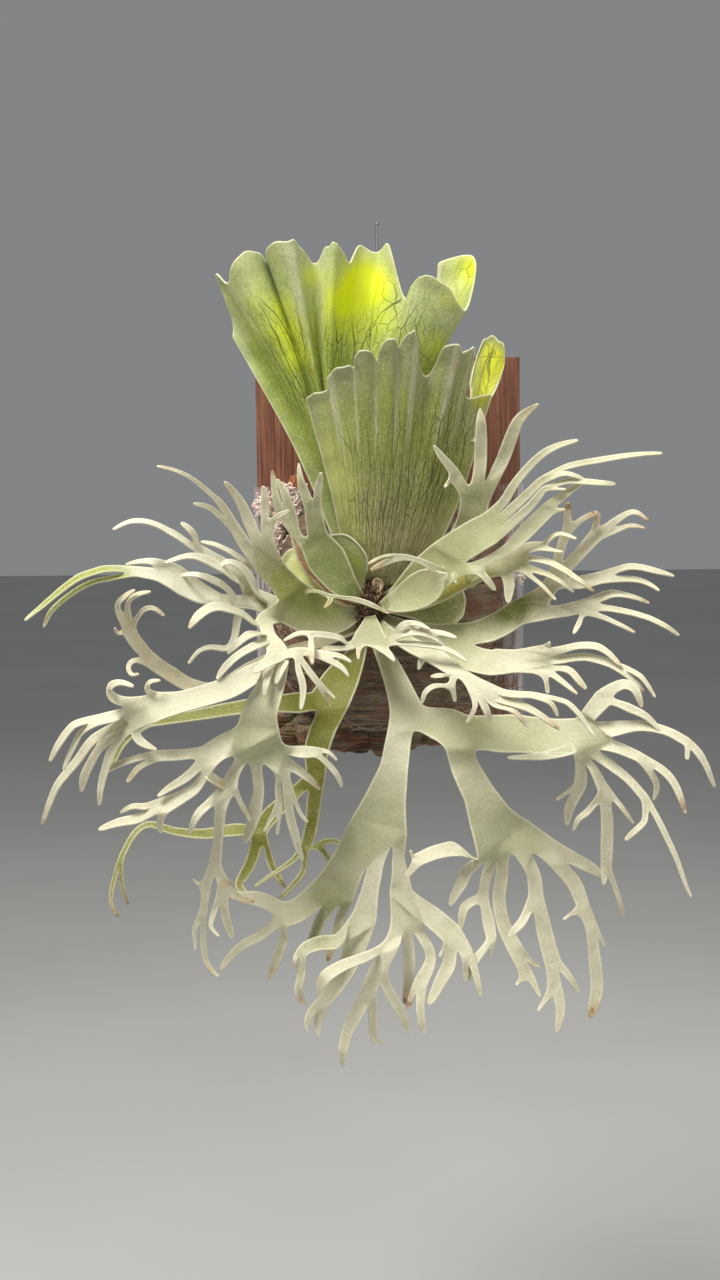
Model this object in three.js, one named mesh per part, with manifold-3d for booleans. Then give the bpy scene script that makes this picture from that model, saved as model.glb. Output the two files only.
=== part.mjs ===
import * as THREE from "three";
import { mergeVertices } from "three/addons/utils/BufferGeometryUtils.js";
import Module from "manifold-3d";

// A staghorn fern grown on a hanging board. Millimetres, +Z up. The origin is the centre of the
// board's back face, which lies on the wall y = 0, and everything stands out on the -Y side.

// Driving dimensions
const BOARD = { width: 195, height: 280, thick: 18, grooves: 13, grooveWidth: 2.4, grooveDepth: 0.9 };
const WIRE = { radius: 0.6, spread: 2.4, x: -6, apex: 240, seat: 24, play: 0.3 };
const BALL = {
  width: 176, height: 190, depth: 76, centreX: 3, centreZ: -45,
  square: 0.8, bulge: 0.7, layers: 26, relief: 0.9,
};
const FILM = { thick: 0.8, low: -66, high: 70, clear: 1.8, lap: 14, window: 64, rows: 12, columns: 24 };
const BUD = { across: 21, tall: 46, deep: 42, scales: 15, relief: 0.6 };
const DISC = { across: 8, tall: 11, thick: 4 };
const FROND_THICK = 1.5;
const SHIELD_THICK = 1.6;
const SEAT_GAP = 0.3;

// Traced places are [across, down, out, width]: across, down and width in the pixels of a picture
// 720 wide and 1280 high that is seen from VIEW, and out in millimetres from the wall.
const PICTURE = { width: 720, height: 1280, focal: 1620 };
const VIEW = { eye: [44.5, -1224.4, 41.6], yaw: 3.17, pitch: 5.17, roll: 0.72 };
const BUD_PLACE = [371, 607, 108];
const DISC_PLACE = [378, 585, 121];

// Shapes of the blades
const WIDE_ROW = 13;
const CUP = 0.16;
const LEAST_FACING = 0.5;
const SHARED_GAP = 0.15;
const LEAST_WEB = 0.2;
const FACE_UP = [0, -0.75, 0.66];
const FACE_FRONT = [0, -1, 0.12];
const TURNING = { from: 165, to: 215 };

// Colours
const GREEN = "#8f9c63";
const PALE = "#cfd0ae";
const LIME = "#a9b83c";

const radians = THREE.MathUtils.degToRad;
const vector = (p) => new THREE.Vector3(...p);

// A limb is a run of traced rows, then the limbs that it forks into. A frond is a list of limbs:
// its blade, then strands that spring from the blade's face where a row's `out` is ON.
const limb = (rows, ...forks) => ({ rows, forks });
const ON = null;

const LEFT_TOP = limb([[272, 572, 143, 26]],
  limb([[250, 551, 149, 13], [235, 528, 155, 10]],
    limb([[224, 508, 162, 8], [213, 496, 170, 5], [188, 476, 182, 4], [160, 465, 190, 3]]),
    limb([[219, 515, 160, 6], [209, 507, 168, 5], [198, 504, 175, 4]])),
  limb([[263, 545, 150, 22]],
    limb([[250, 523, 152, 12], [241, 503, 158, 9], [227, 483, 165, 5]]),
    limb([[267, 525, 152, 12]],
      limb([[265, 506, 155, 8], [265, 488, 160, 6]]),
      limb([[276, 517, 157, 6], [288, 511, 162, 4]]))));

const LEFT_OUTER = limb(
  [[256, 672, 242, 20], [232, 686, 246, 22], [206, 695, 250, 21], [180, 702, 254, 21], [158, 706, 256, 28]],
  limb([[136, 729, 260, 10], [141, 742, 262, 8], [155, 748, 264, 3]]),
  limb([[128, 724, 258, 22]],
    limb([[112, 748, 260, 8], [106, 766, 262, 8], [101, 784, 262, 7], [99, 803, 262, 4]]),
    limb([[103, 744, 258, 8], [92, 760, 258, 8], [84, 776, 258, 9], [80, 789, 258, 5]]),
    limb([[97, 736, 256, 9], [76, 762, 254, 8], [58, 784, 252, 7], [49, 804, 250, 6], [42, 822, 248, 3]])),
  limb([[124, 714, 262, 11], [98, 720, 266, 10]],
    limb([[82, 730, 268, 6], [74, 745, 268, 6], [63, 769, 268, 3]]),
    limb([[76, 723, 270, 7], [60, 742, 270, 7], [52, 758, 268, 4]])),
  limb([[128, 702, 260, 8], [113, 698, 264, 9], [109, 687, 268, 8], [120, 682, 270, 5], [132, 686, 272, 4]]),
  limb([[146, 691, 256, 7], [148, 682, 258, 5], [159, 679, 260, 3]]));

const LEFT_LOWER = limb([[268, 690, 244, 30], [260, 712, 246, 35], [258, 730, 245, 44]],
  limb([[262, 751, 242, 42]],
    limb([[300, 752, 242, 12], [316, 752, 240, 9]],
      limb([[329, 765, 238, 6], [338, 776, 236, 5], [342, 786, 234, 3]]),
      limb([[327, 751, 240, 4], [335, 759, 238, 3]])),
    limb([[283, 766, 240, 20]],
      limb([[303, 774, 238, 8], [320, 788, 234, 3]]),
      limb([[288, 790, 236, 10]],
        limb([[299, 812, 232, 4], [308, 821, 230, 3]]),
        limb([[290, 816, 232, 9], [296, 838, 228, 8], [299, 857, 224, 4]])),
      limb([[278, 786, 236, 7], [280, 803, 234, 7]],
        limb([[277, 832, 228, 4]]),
        limb([[266, 829, 230, 4]]))),
    limb([[257, 772, 238, 11], [259, 790, 236, 10], [254, 814, 232, 14], [247, 840, 228, 5]]),
    limb([[237, 768, 242, 11], [229, 786, 244, 18]],
      limb([[240, 802, 240, 5], [249, 818, 234, 4]]),
      limb([[221, 806, 244, 12], [218, 838, 240, 9], [215, 864, 236, 12]],
        limb([[224, 884, 234, 10]],
          limb([[233, 882, 234, 3]]),
          limb([[239, 898, 230, 6], [252, 900, 226, 3]]),
          limb([[224, 912, 232, 9], [232, 934, 228, 7]]),
          limb([[214, 912, 234, 6], [210, 928, 237, 4], [216, 935, 239, 3]])),
        limb([[206, 888, 234, 9]],
          limb([[203, 914, 232, 7]],
            limb([[203, 942, 230, 6], [207, 964, 228, 5], [216, 975, 230, 3]]),
            limb([[194, 928, 232, 5], [197, 947, 230, 3]])),
          limb([[194, 880, 236, 3]]))),
      limb([[211, 802, 248, 8], [198, 814, 252, 8], [189, 831, 252, 4]]))),
  limb([[226, 744, 246, 22], [208, 757, 248, 24]],
    limb([[199, 784, 248, 10], [183, 796, 252, 12], [163, 806, 256, 17]],
      limb([[159, 820, 256, 8], [161, 829, 256, 6]]),
      limb([[140, 818, 260, 9], [120, 822, 262, 8], [102, 828, 264, 5]]),
      limb([[146, 807, 258, 6], [132, 806, 260, 5], [121, 811, 260, 3]])),
    limb([[188, 776, 250, 9], [172, 786, 254, 7], [159, 794, 256, 4]]),
    limb([[180, 755, 250, 10], [155, 756, 254, 10]],
      limb([[140, 766, 256, 6], [128, 780, 258, 5]]),
      limb([[134, 759, 256, 6], [116, 765, 253, 6], [102, 772, 250, 4]]))));

const LEFT = [
  limb(
    [[363, 612, 117, 9], [351, 615, 123, 20], [336, 618, 128, 33], [314, 614, 132, 44], [292, 602, 139, 46]],
    LEFT_TOP,
    limb([[270, 616, 158, 20], [263, 624, 178, 17]],
      limb([[249, 618, 196, 9], [231, 609, 220, 8], [212, 607, 240, 9], [198, 616, 252, 9],
        [191, 627, 258, 4]]),
      limb([[268, 637, 205, 14], [277, 648, 228, 18], [278, 658, 236, 26]], LEFT_OUTER, LEFT_LOWER))),
  limb([[268, 640, ON, 8], [256, 645, 232, 8], [238, 655, 238, 7], [225, 667, 242, 7], [217, 677, 244, 4]]),
  limb([[264, 634, ON, 6], [252, 633, 226, 7], [240, 641, 232, 7], [231, 652, 236, 4]]),
  limb([[282, 655, ON, 8], [296, 652, 236, 9]],
    limb([[298, 668, 240, 6], [303, 686, 244, 7], [302, 708, 246, 4]]),
    limb([[306, 667, 238, 6], [318, 683, 238, 6]], limb([[333, 696, 236, 3]]), limb([[330, 705, 238, 3]])),
    limb([[309, 652, 237, 8]],
      limb([[311, 663, 239, 4]]),
      limb([[324, 656, 238, 9]],
        limb([[338, 655, 237, 5], [349, 661, 236, 3]]),
        limb([[335, 663, 239, 6], [343, 668, 240, 5], [347, 675, 240, 3]])))),
  limb([[282, 656, ON, 9], [270, 661, 246, 10], [256, 670, 250, 7]]),
  limb([[286, 660, ON, 8], [281, 669, 244, 8], [276, 680, 246, 5]]),
  limb([[272, 665, ON, 7], [267, 678, 248, 7], [264, 694, 252, 4]]),
  limb([[206, 774, ON, 8], [226, 786, ON, 8]]),
  limb([[306, 592, ON, 3], [317, 591, 140, 3], [329, 596, 143, 4]],
    limb([[331, 601, 146, 6], [326, 606, 148, 4]]),
    limb([[345, 598, 140, 4], [358, 600, 138, 5], [372, 605, 137, 5], [388, 612, 138, 2]]))];

const INNER_LEFT = [limb(
  [[363, 601, 121, 9], [352, 592, 130, 20], [341, 581, 133, 31], [327, 560, 135, 40], [314, 541, 138, 30]],
  limb([[299, 539, 140, 10]],
    limb([[284, 520, 143, 8], [276, 498, 147, 8], [273, 472, 150, 4]]),
    limb([[293, 518, 143, 9], [286, 498, 147, 9], [280, 480, 150, 4]])),
  limb([[315, 521, 142, 19], [313, 507, 145, 17]],
    limb([[304, 492, 148, 10], [300, 478, 152, 6], [298, 464, 155, 3]]),
    limb([[318, 490, 150, 8], [321, 475, 155, 5]])))];

const ARCH_LEFT = [
  limb(
    [[362, 617, 111, 8], [345, 618, 112, 10], [322, 616, 113, 14], [300, 612, 115, 18], [276, 607, 121, 20],
      [262, 601, 130, 20]],
    limb([[246, 602, 140, 12], [222, 600, 152, 13]],
      limb([[200, 592, 164, 20], [178, 579, 176, 25]],
        limb([[156, 575, 188, 12], [134, 571, 198, 9]],
          limb([[108, 568, 208, 7], [82, 576, 218, 7], [60, 591, 226, 6], [42, 606, 232, 5],
            [27, 619, 236, 3]]),
          limb([[117, 577, 204, 5], [92, 582, 212, 5], [71, 594, 220, 5], [52, 610, 226, 5],
            [44, 626, 230, 3]])),
        limb([[160, 563, 184, 8], [143, 561, 187, 5], [128, 564, 190, 3]]))),
    limb([[250, 588, 136, 14]],
      limb([[240, 582, 150, 6], [220, 567, 166, 7], [200, 557, 180, 7], [184, 556, 192, 5],
        [166, 562, 202, 4]]),
      limb([[238, 571, 144, 9], [218, 560, 156, 9], [198, 549, 166, 9]],
        limb([[178, 536, 174, 6], [154, 523, 180, 5], [132, 521, 184, 5], [114, 529, 186, 3]]),
        limb([[195, 535, 174, 6], [184, 524, 179, 5]])),
      limb([[249, 567, 140, 5], [234, 554, 146, 5], [216, 545, 152, 4], [203, 542, 156, 3]]))),
  limb([[242, 604, ON, 8], [237, 620, 148, 8], [235, 636, 154, 7], [228, 648, 160, 6], [210, 647, 166, 5],
    [198, 652, 172, 4], [190, 661, 176, 3]]),
  limb([[264, 604, ON, 8], [256, 589, 144, 8], [248, 574, 152, 7], [236, 564, 160, 6], [225, 562, 166, 5],
    [219, 568, 170, 3]]),
  limb([[236, 602, ON, 6], [226, 587, 156, 6], [212, 580, 166, 6], [197, 574, 176, 5], [184, 575, ON, 4]])];

const CURLED_LEFT = [limb(
  [[362, 625, 109, 8], [345, 634, 113, 8], [325, 641, 117, 9], [285, 652, 122, 10], [250, 668, 134, 11],
    [215, 688, 150, 12], [188, 684, 162, 12], [166, 671, 172, 13], [148, 658, 180, 14]],
  limb([[132, 659, 186, 6], [127, 668, 190, 5], [131, 675, 192, 4], [137, 673, 194, 3]]),
  limb([[136, 643, 186, 12], [129, 630, 190, 14]],
    limb([[118, 634, 192, 4], [115, 629, 196, 3]]),
    limb([[121, 617, 196, 7], [117, 605, 200, 6], [124, 597, 204, 5], [134, 590, 208, 3]]),
    limb([[128, 614, 196, 6], [128, 602, 200, 5], [138, 594, 206, 4], [149, 592, 210, 3]]),
    limb([[137, 618, 196, 5], [142, 610, 200, 5], [153, 607, 204, 4], [163, 614, 206, 3]])))];

const LOW_LEFT = [limb(
  [[367, 630, 108, 8], [361, 645, 114, 12], [352, 661, 124, 24], [340, 680, 140, 36], [330, 700, 150, 40]],
  limb([[324, 726, 156, 26], [317, 748, 162, 25], [316, 774, 166, 20]],
    limb([[314, 802, 168, 15], [311, 828, 170, 13], [306, 846, 172, 12]],
      limb([[318, 844, 178, 7]],
        limb([[334, 840, 184, 5], [347, 850, 190, 4], [356, 868, 192, 3]]),
        limb([[328, 856, 180, 6], [330, 869, 182, 6], [329, 880, 184, 4]])),
      limb([[305, 868, 176, 6], [296, 882, 180, 6], [281, 898, 184, 3]]),
      limb([[296, 858, 176, 6], [276, 872, 182, 4], [256, 885, 188, 3]])),
    limb([[292, 796, 168, 13], [272, 814, 170, 17], [260, 830, 172, 16]],
      limb([[270, 862, 174, 8], [279, 878, 176, 6], [285, 887, 178, 3]]),
      limb([[255, 850, 172, 12], [247, 870, 172, 11], [238, 885, 174, 9], [247, 893, 178, 5]]),
      limb([[236, 830, 172, 11], [204, 834, 176, 9], [172, 831, 180, 7], [149, 824, 184, 6],
        [133, 835, 188, 6], [121, 858, 190, 6]],
        limb([[121, 880, 190, 5], [127, 902, 190, 3]]),
        limb([[113, 884, 192, 5], [111, 903, 192, 4], [118, 915, 194, 3]])))),
  limb([[300, 702, 158, 20], [268, 704, 164, 16], [232, 709, 170, 13], [190, 716, 178, 10],
    [150, 722, 184, 9]],
    limb([[134, 732, 188, 7], [120, 748, 192, 6], [112, 770, 194, 4]]),
    limb([[130, 724, 190, 5], [112, 730, 194, 5], [96, 744, 196, 3]])))];

const CENTRE = [limb(
  [[374, 630, 108, 8], [378, 644, 124, 12], [388, 662, 150, 19], [399, 688, 176, 26], [407, 711, 192, 34]],
  limb([[440, 722, 204, 34], [458, 732, 208, 40]],
    limb([[500, 733, 214, 36], [545, 736, 220, 34], [576, 736, 224, 34]],
      limb([[588, 716, 226, 14], [604, 697, 228, 18]],
        limb([[620, 684, 230, 10], [634, 688, 232, 9], [641, 705, 234, 5]]),
        limb([[624, 706, 232, 8], [643, 715, 234, 7], [660, 728, 236, 4]])),
      limb([[606, 730, 228, 15], [638, 726, 232, 9], [666, 731, 236, 8], [688, 742, 240, 9]],
        limb([[698, 752, 242, 8], [707, 767, 242, 6], [713, 785, 242, 4]]),
        limb([[688, 756, 244, 6]])),
      limb([[612, 746, 230, 12], [640, 757, 234, 9]],
        limb([[664, 771, 236, 8], [678, 790, 240, 7], [684, 812, 242, 4]]),
        limb([[657, 780, 234, 7], [656, 797, 232, 4]])),
      limb([[606, 762, 228, 10], [628, 779, 232, 8], [646, 799, 236, 9]],
        limb([[662, 828, 240, 6], [678, 862, 242, 5], [689, 896, 242, 3]]),
        limb([[646, 820, 240, 6], [626, 838, 244, 4]])),
      limb([[593, 768, 226, 8], [604, 790, 226, 12]],
        limb([[622, 808, 228, 5], [632, 822, 230, 3]]),
        limb([[607, 818, 224, 12], [607, 845, 224, 12], [606, 868, 222, 10]],
          limb([[618, 896, 218, 5], [623, 914, 216, 4]]),
          limb([[604, 882, 222, 6]])),
        limb([[589, 811, 226, 6], [578, 819, 228, 5], [573, 829, 228, 3]])),
      limb([[581, 768, 224, 11], [580, 786, 222, 14]],
        limb([[570, 804, 220, 10], [567, 821, 218, 6]]),
        limb([[558, 798, 222, 4]]))),
    limb([[464, 764, 212, 28], [479, 794, 214, 32], [492, 822, 214, 46], [504, 842, 212, 66]],
      limb([[556, 856, 210, 24]],
        limb([[585, 864, 208, 12], [602, 876, 206, 5]]),
        limb([[573, 880, 210, 15], [583, 905, 212, 13]],
          limb([[593, 930, 212, 12]],
            limb([[604, 944, 212, 4]]),
            limb([[595, 962, 212, 12], [597, 988, 212, 12], [592, 1012, 212, 9]])),
          limb([[564, 918, 214, 3]]))),
      limb([[531, 868, 210, 14], [536, 896, 210, 15]],
        limb([[544, 930, 212, 16], [553, 963, 214, 17]],
          limb([[568, 975, 214, 7], [578, 990, 214, 4]]),
          limb([[556, 988, 216, 13]],
            limb([[561, 1006, 218, 10], [558, 1028, 220, 5]]),
            limb([[538, 1009, 218, 4]]))),
        limb([[524, 920, 216, 8], [510, 934, 222, 6]])),
      limb([[502, 872, 206, 13], [499, 898, 206, 13], [504, 926, 208, 14], [518, 954, 212, 16]],
        limb([[530, 962, 212, 5], [538, 966, 214, 3]]),
        limb([[527, 974, 214, 12]],
          limb([[539, 994, 216, 5]]),
          limb([[518, 984, 216, 4]]))),
      limb([[487, 874, 204, 10], [483, 896, 204, 10]],
        limb([[488, 920, 208, 12], [492, 940, 212, 10]],
          limb([[476, 958, 220, 8], [470, 978, 224, 5]]),
          limb([[490, 957, 216, 3]])),
        limb([[466, 904, 208, 10], [460, 924, 212, 6]])),
      limb([[469, 868, 207, 11], [461, 884, 208, 11], [450, 903, 210, 6]]),
      limb([[457, 848, 212, 14], [432, 854, 216, 12], [416, 861, 220, 11]],
        limb([[409, 873, 222, 7]]),
        limb([[411, 852, 222, 4]])))),
  limb([[399, 738, 202, 25], [394, 768, 208, 28], [386, 798, 212, 40], [379, 826, 214, 58]],
    limb([[398, 862, 216, 13], [401, 892, 218, 24]],
      limb([[430, 915, 220, 20], [452, 934, 222, 22]],
        limb([[468, 954, 224, 14]],
          limb([[476, 975, 226, 7], [480, 995, 228, 4]]),
          limb([[466, 978, 228, 6]])),
        limb([[450, 962, 226, 14], [440, 982, 228, 11], [431, 1001, 230, 7]]),
        limb([[438, 955, 228, 4]])),
      limb([[404, 918, 220, 24]],
        limb([[424, 940, 220, 10], [431, 960, 222, 10], [420, 984, 226, 14]],
          limb([[420, 1006, 230, 9], [423, 1030, 232, 6]]),
          limb([[408, 1004, 228, 6]])),
        limb([[409, 950, 218, 11], [409, 976, 218, 11], [405, 1000, 214, 5]]),
        limb([[394, 946, 228, 15]],
          limb([[378, 966, 234, 15]],
            limb([[388, 990, 232, 10], [402, 1014, 228, 9], [410, 1032, 226, 4]]),
            limb([[369, 990, 235, 16]],
              limb([[373, 1016, 232, 9], [374, 1040, 230, 7], [383, 1043, 229, 3]]),
              limb([[359, 1010, 236, 13], [348, 1030, 237, 11], [343, 1052, 238, 9], [344, 1066, 238, 3]]))),
          limb([[366, 957, 240, 9], [342, 966, 244, 10], [324, 978, 247, 11], [319, 992, 247, 4]])))),
    limb([[376, 862, 217, 15], [370, 890, 219, 17], [364, 918, 221, 26]],
      limb([[355, 948, 222, 22], [342, 976, 221, 18], [325, 1000, 220, 13]],
        limb([[318, 1018, 220, 9], [319, 1033, 221, 4]]),
        limb([[308, 1014, 222, 8], [308, 1028, 223, 3]])),
      limb([[342, 940, 226, 14], [318, 943, 231, 13], [302, 950, 234, 11]],
        limb([[302, 972, 234, 8], [298, 994, 233, 8], [305, 1003, 233, 4]]),
        limb([[292, 962, 238, 5], [299, 969, 240, 3]]))),
    limb([[350, 862, 212, 34], [336, 888, 208, 40]],
      limb([[341, 915, 204, 10], [334, 938, 204, 9], [328, 960, 206, 4]]),
      limb([[322, 916, 204, 11], [314, 938, 202, 10], [306, 956, 202, 4]]),
      limb([[300, 910, 206, 22], [284, 915, 204, 22]],
        limb([[284, 938, 204, 9], [277, 958, 204, 9], [270, 976, 204, 6]]),
        limb([[263, 934, 206, 9], [240, 947, 210, 8], [220, 968, 212, 5]]),
        limb([[262, 900, 206, 14], [240, 897, 208, 9], [224, 891, 208, 4]]))))),
  limb([[574, 749, ON, 8], [552, 755, 230, 7], [530, 757, 234, 5], [509, 758, 237, 3]])];

const FRONT = [limb(
  [[371, 613, 119, 6], [370, 622, 142, 16], [369, 632, 168, 28], [369, 641, 200, 36]],
  limb([[350, 646, 214, 8]],
    limb([[343, 638, 218, 5], [328, 635, 224, 6], [312, 634, 228, 6]],
      limb([[311, 646, 244, 7], [312, 661, 252, 4]]),
      limb([[298, 633, 230, 5], [285, 640, 232, 3]])),
    limb([[339, 648, 220, 5], [326, 648, 226, 6], [318, 652, 229, 4]])),
  limb([[358, 650, 212, 5], [359, 657, 216, 3]]),
  limb([[383, 648, 216, 9], [393, 660, 226, 4]]),
  limb([[388, 641, 212, 12]],
    limb([[398, 630, 220, 7], [404, 624, 224, 7]],
      limb([[416, 623, 228, 5], [429, 629, 232, 3]]),
      limb([[418, 628, 223, 3]])),
    limb([[402, 634, 222, 6], [420, 632, 228, 6]],
      limb([[438, 632, 232, 5], [458, 637, 236, 3]]),
      limb([[434, 637, 232, 4], [443, 645, 234, 3]])),
    limb([[402, 643, 220, 5], [420, 644, 226, 5], [441, 647, 232, 5], [456, 654, 236, 4],
      [465, 661, 238, 3]])))];

const TALL_RIGHT = [limb(
  [[380, 601, 113, 8], [391, 595, 119, 11], [403, 587, 126, 14], [427, 570, 131, 18], [452, 549, 136, 22],
    [470, 524, 141, 28], [475, 499, 145, 29]],
  limb([[456, 475, 148, 13]],
    limb([[444, 460, 154, 8], [434, 447, 158, 4]]),
    limb([[446, 485, 154, 4]])),
  limb([[480, 469, 149, 12], [481, 440, 154, 12], [481, 420, 158, 9], [481, 409, 160, 3]]),
  limb([[498, 469, 149, 13], [505, 454, 153, 13], [512, 435, 158, 12], [520, 418, 163, 10],
    [538, 404, 168, 3]]))];

const FOLD_RIGHT = [
  limb(
    [[379, 607, 124, 7], [389, 603, 134, 15], [404, 594, 141, 29], [424, 579, 148, 42], [446, 560, 155, 42]],
    limb([[468, 541, 160, 34], [491, 528, 167, 32]],
      limb([[504, 502, 172, 9], [519, 478, 178, 8], [545, 452, 184, 7], [574, 440, 190, 4]]),
      limb([[516, 505, 173, 9], [542, 480, 180, 8]],
        limb([[565, 467, 186, 6], [600, 460, 194, 6], [632, 455, 202, 5], [662, 453, 208, 3]]),
        limb([[562, 473, 188, 5], [582, 477, 192, 4]])),
      limb([[522, 514, 173, 9], [545, 488, 180, 6]],
        limb([[566, 481, 186, 6], [590, 482, 192, 6], [615, 484, 198, 4]]),
        limb([[562, 489, 186, 3]]))),
    limb([[478, 567, 160, 12]],
      limb([[505, 552, 166, 11], [526, 531, 171, 16], [548, 509, 176, 15]],
        limb([[566, 493, 182, 8], [582, 483, 186, 3]]),
        limb([[562, 509, 182, 4]])),
      limb([[485, 577, 162, 7], [492, 587, 163, 6]]))),
  limb([[455, 573, ON, 7], [456, 582, 155, 3]]),
  limb([[443, 573, ON, 11], [432, 567, 162, 8], [418, 560, 166, 5], [404, 557, 170, 6]],
    limb([[388, 561, 173, 6], [374, 569, 175, 5]]),
    limb([[386, 555, 175, 3], [370, 562, 179, 3]])),
  limb([[383, 606, 128, 8], [393, 603, 137, 19], [405, 598, 145, 29], [418, 591, 151, 36],
    [430, 584, 156, 34], [438, 579, 159, 24], [442, 577, 160, 12]])];

const MIDDLE_RIGHT = [limb(
  [[379, 608, 117, 8], [398, 607, 126, 11], [420, 601, 131, 16], [443, 588, 136, 24], [466, 577, 141, 22]],
  limb([[486, 572, 147, 14], [501, 567, 152, 16]],
    limb([[524, 550, 160, 11], [542, 546, 166, 8]],
      limb([[550, 538, 170, 4], [560, 533, 174, 4], [575, 538, 178, 3]]),
      limb([[562, 552, 172, 3]])),
    limb([[526, 559, 160, 6], [552, 563, 170, 6], [574, 576, 178, 5], [592, 590, 184, 3]]),
    limb([[522, 568, 160, 7]],
      limb([[548, 574, 168, 5], [573, 589, 176, 3]]),
      limb([[540, 583, 166, 4], [555, 598, 172, 3]])),
    limb([[509, 580, 158, 12], [508, 598, 160, 7]]))),
  limb([[480, 578, ON, 5], [470, 587, 149, 3]])];

const RIGHT = [limb(
  [[380, 616, 111, 7], [392, 624, 120, 16], [410, 633, 132, 28], [432, 641, 142, 40], [455, 645, 148, 46]],
  limb([[482, 632, 142, 25], [500, 624, 143, 25], [516, 613, 145, 24]],
    limb([[541, 597, 149, 17], [552, 583, 153, 15]],
      limb([[557, 562, 157, 9], [563, 541, 160, 8], [568, 529, 163, 9]],
        limb([[567, 505, 166, 8]]),
        limb([[582, 519, 166, 5], [597, 512, 170, 5]])),
      limb([[567, 567, 157, 11], [581, 552, 160, 11], [597, 534, 163, 13]],
        limb([[599, 515, 166, 7]]),
        limb([[612, 523, 166, 7], [632, 512, 170, 5], [648, 520, 174, 3]]),
        limb([[614, 531, 166, 6], [630, 525, 170, 4], [643, 528, 172, 3]])),
      limb([[577, 583, 156, 12], [604, 577, 162, 11]],
        limb([[626, 567, 168, 6], [650, 569, 174, 6], [672, 575, 178, 3]]),
        limb([[628, 579, 168, 6], [645, 581, 172, 5], [660, 590, 176, 3]]))),
    limb([[550, 613, 150, 12], [580, 607, 155, 12]],
      limb([[606, 595, 160, 8], [626, 595, 166, 5], [649, 602, 170, 3]]),
      limb([[610, 609, 162, 6], [640, 615, 170, 5], [660, 623, 176, 5], [679, 634, 180, 3]]),
      limb([[606, 619, 164, 5], [634, 632, 170, 3]]),
      limb([[580, 622, 164, 6], [575, 631, 168, 4]]))),
  limb([[482, 661, 162, 28], [514, 661, 170, 22]],
    limb([[545, 652, 178, 12]],
      limb([[551, 643, 182, 4]]),
      limb([[574, 646, 186, 7], [600, 648, 192, 7], [620, 664, 198, 4]])),
    limb([[550, 660, 178, 8], [584, 657, 186, 8], [614, 665, 194, 8]],
      limb([[632, 679, 200, 5], [644, 690, 204, 4]]),
      limb([[638, 674, 202, 5], [655, 696, 206, 3]])),
    limb([[546, 669, 178, 8]],
      limb([[568, 668, 184, 7], [582, 687, 190, 6]]),
      limb([[558, 678, 184, 6], [576, 692, 190, 3]]),
      limb([[547, 689, 184, 6]]))))];

const FRONT_RIGHT = [limb(
  [[378, 620, 119, 8], [389, 632, 146, 10], [408, 643, 178, 14], [434, 656, 214, 18], [456, 671, 236, 14]],
  limb([[471, 681, 243, 12]],
    limb([[500, 692, 252, 7], [532, 695, 258, 6]],
      limb([[550, 701, 262, 5], [558, 714, 264, 4]]),
      limb([[562, 700, 260, 5], [578, 713, 264, 5], [593, 734, 266, 3]])),
    limb([[496, 698, 252, 7], [528, 708, 258, 7], [558, 728, 262, 4]]),
    limb([[492, 704, 252, 5], [513, 710, 258, 5], [526, 725, 260, 4]]),
    limb([[484, 704, 250, 8], [490, 721, 252, 5]]),
    limb([[476, 704, 250, 5], [468, 721, 252, 3]])),
  limb([[452, 686, 240, 6]],
    limb([[454, 699, 242, 5]]),
    limb([[436, 685, 246, 5], [424, 693, 249, 5], [422, 701, 250, 4]])),
  limb([[440, 675, 234, 6], [431, 675, 238, 4]])),
  limb([[424, 654, ON, 8], [418, 667, 204, 4]])];

// A shield is a fan of ribs from left to right, each a traced base, middle and rim place.
const BACK_SHIELD = [
  [[352, 588, 104], [298, 456, 92], [233, 338, 84]],
  [[353, 587, 104], [300, 442, 92], [232, 318, 84]],
  [[354, 586, 104], [303, 430, 94], [216, 274, 90]],
  [[355, 585, 104], [306, 422, 98], [228, 283, 98]],
  [[356, 585, 104], [309, 415, 102], [236, 258, 106]],
  [[357, 585, 104], [312, 410, 99], [256, 251, 100]],
  [[358, 585, 104], [316, 408, 96], [267, 262, 86]],
  [[359, 585, 104], [318, 406, 101], [268, 247, 108]],
  [[360, 585, 104], [321, 404, 104], [290, 240, 112]],
  [[361, 585, 104], [323, 402, 103], [300, 247, 102]],
  [[362, 585, 104], [325, 400, 99], [315, 264, 92]],
  [[363, 585, 104], [328, 398, 104], [328, 246, 102]],
  [[364, 585, 104], [332, 397, 104], [337, 243, 104]],
  [[365, 585, 104], [338, 396, 98], [349, 263, 90]],
  [[367, 585, 104], [346, 395, 92], [359, 246, 80]],
  [[369, 585, 104], [356, 395, 90], [377, 253, 76]],
  [[371, 585, 104], [366, 395, 92], [389, 246, 80]],
  [[373, 585, 104], [376, 396, 98], [404, 297, 92]],
  [[375, 585, 104], [386, 398, 106], [413, 284, 108]],
  [[377, 585, 104], [396, 400, 110], [425, 275, 112]],
  [[379, 585, 104], [406, 402, 110], [446, 285, 110]],
  [[381, 586, 104], [414, 405, 104], [464, 311, 98]],
  [[383, 587, 104], [420, 408, 96], [474, 284, 84]],
  [[385, 588, 104], [424, 412, 88], [473, 256, 72]],
  [[387, 589, 104], [426, 418, 80], [438, 262, 66]]];

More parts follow.
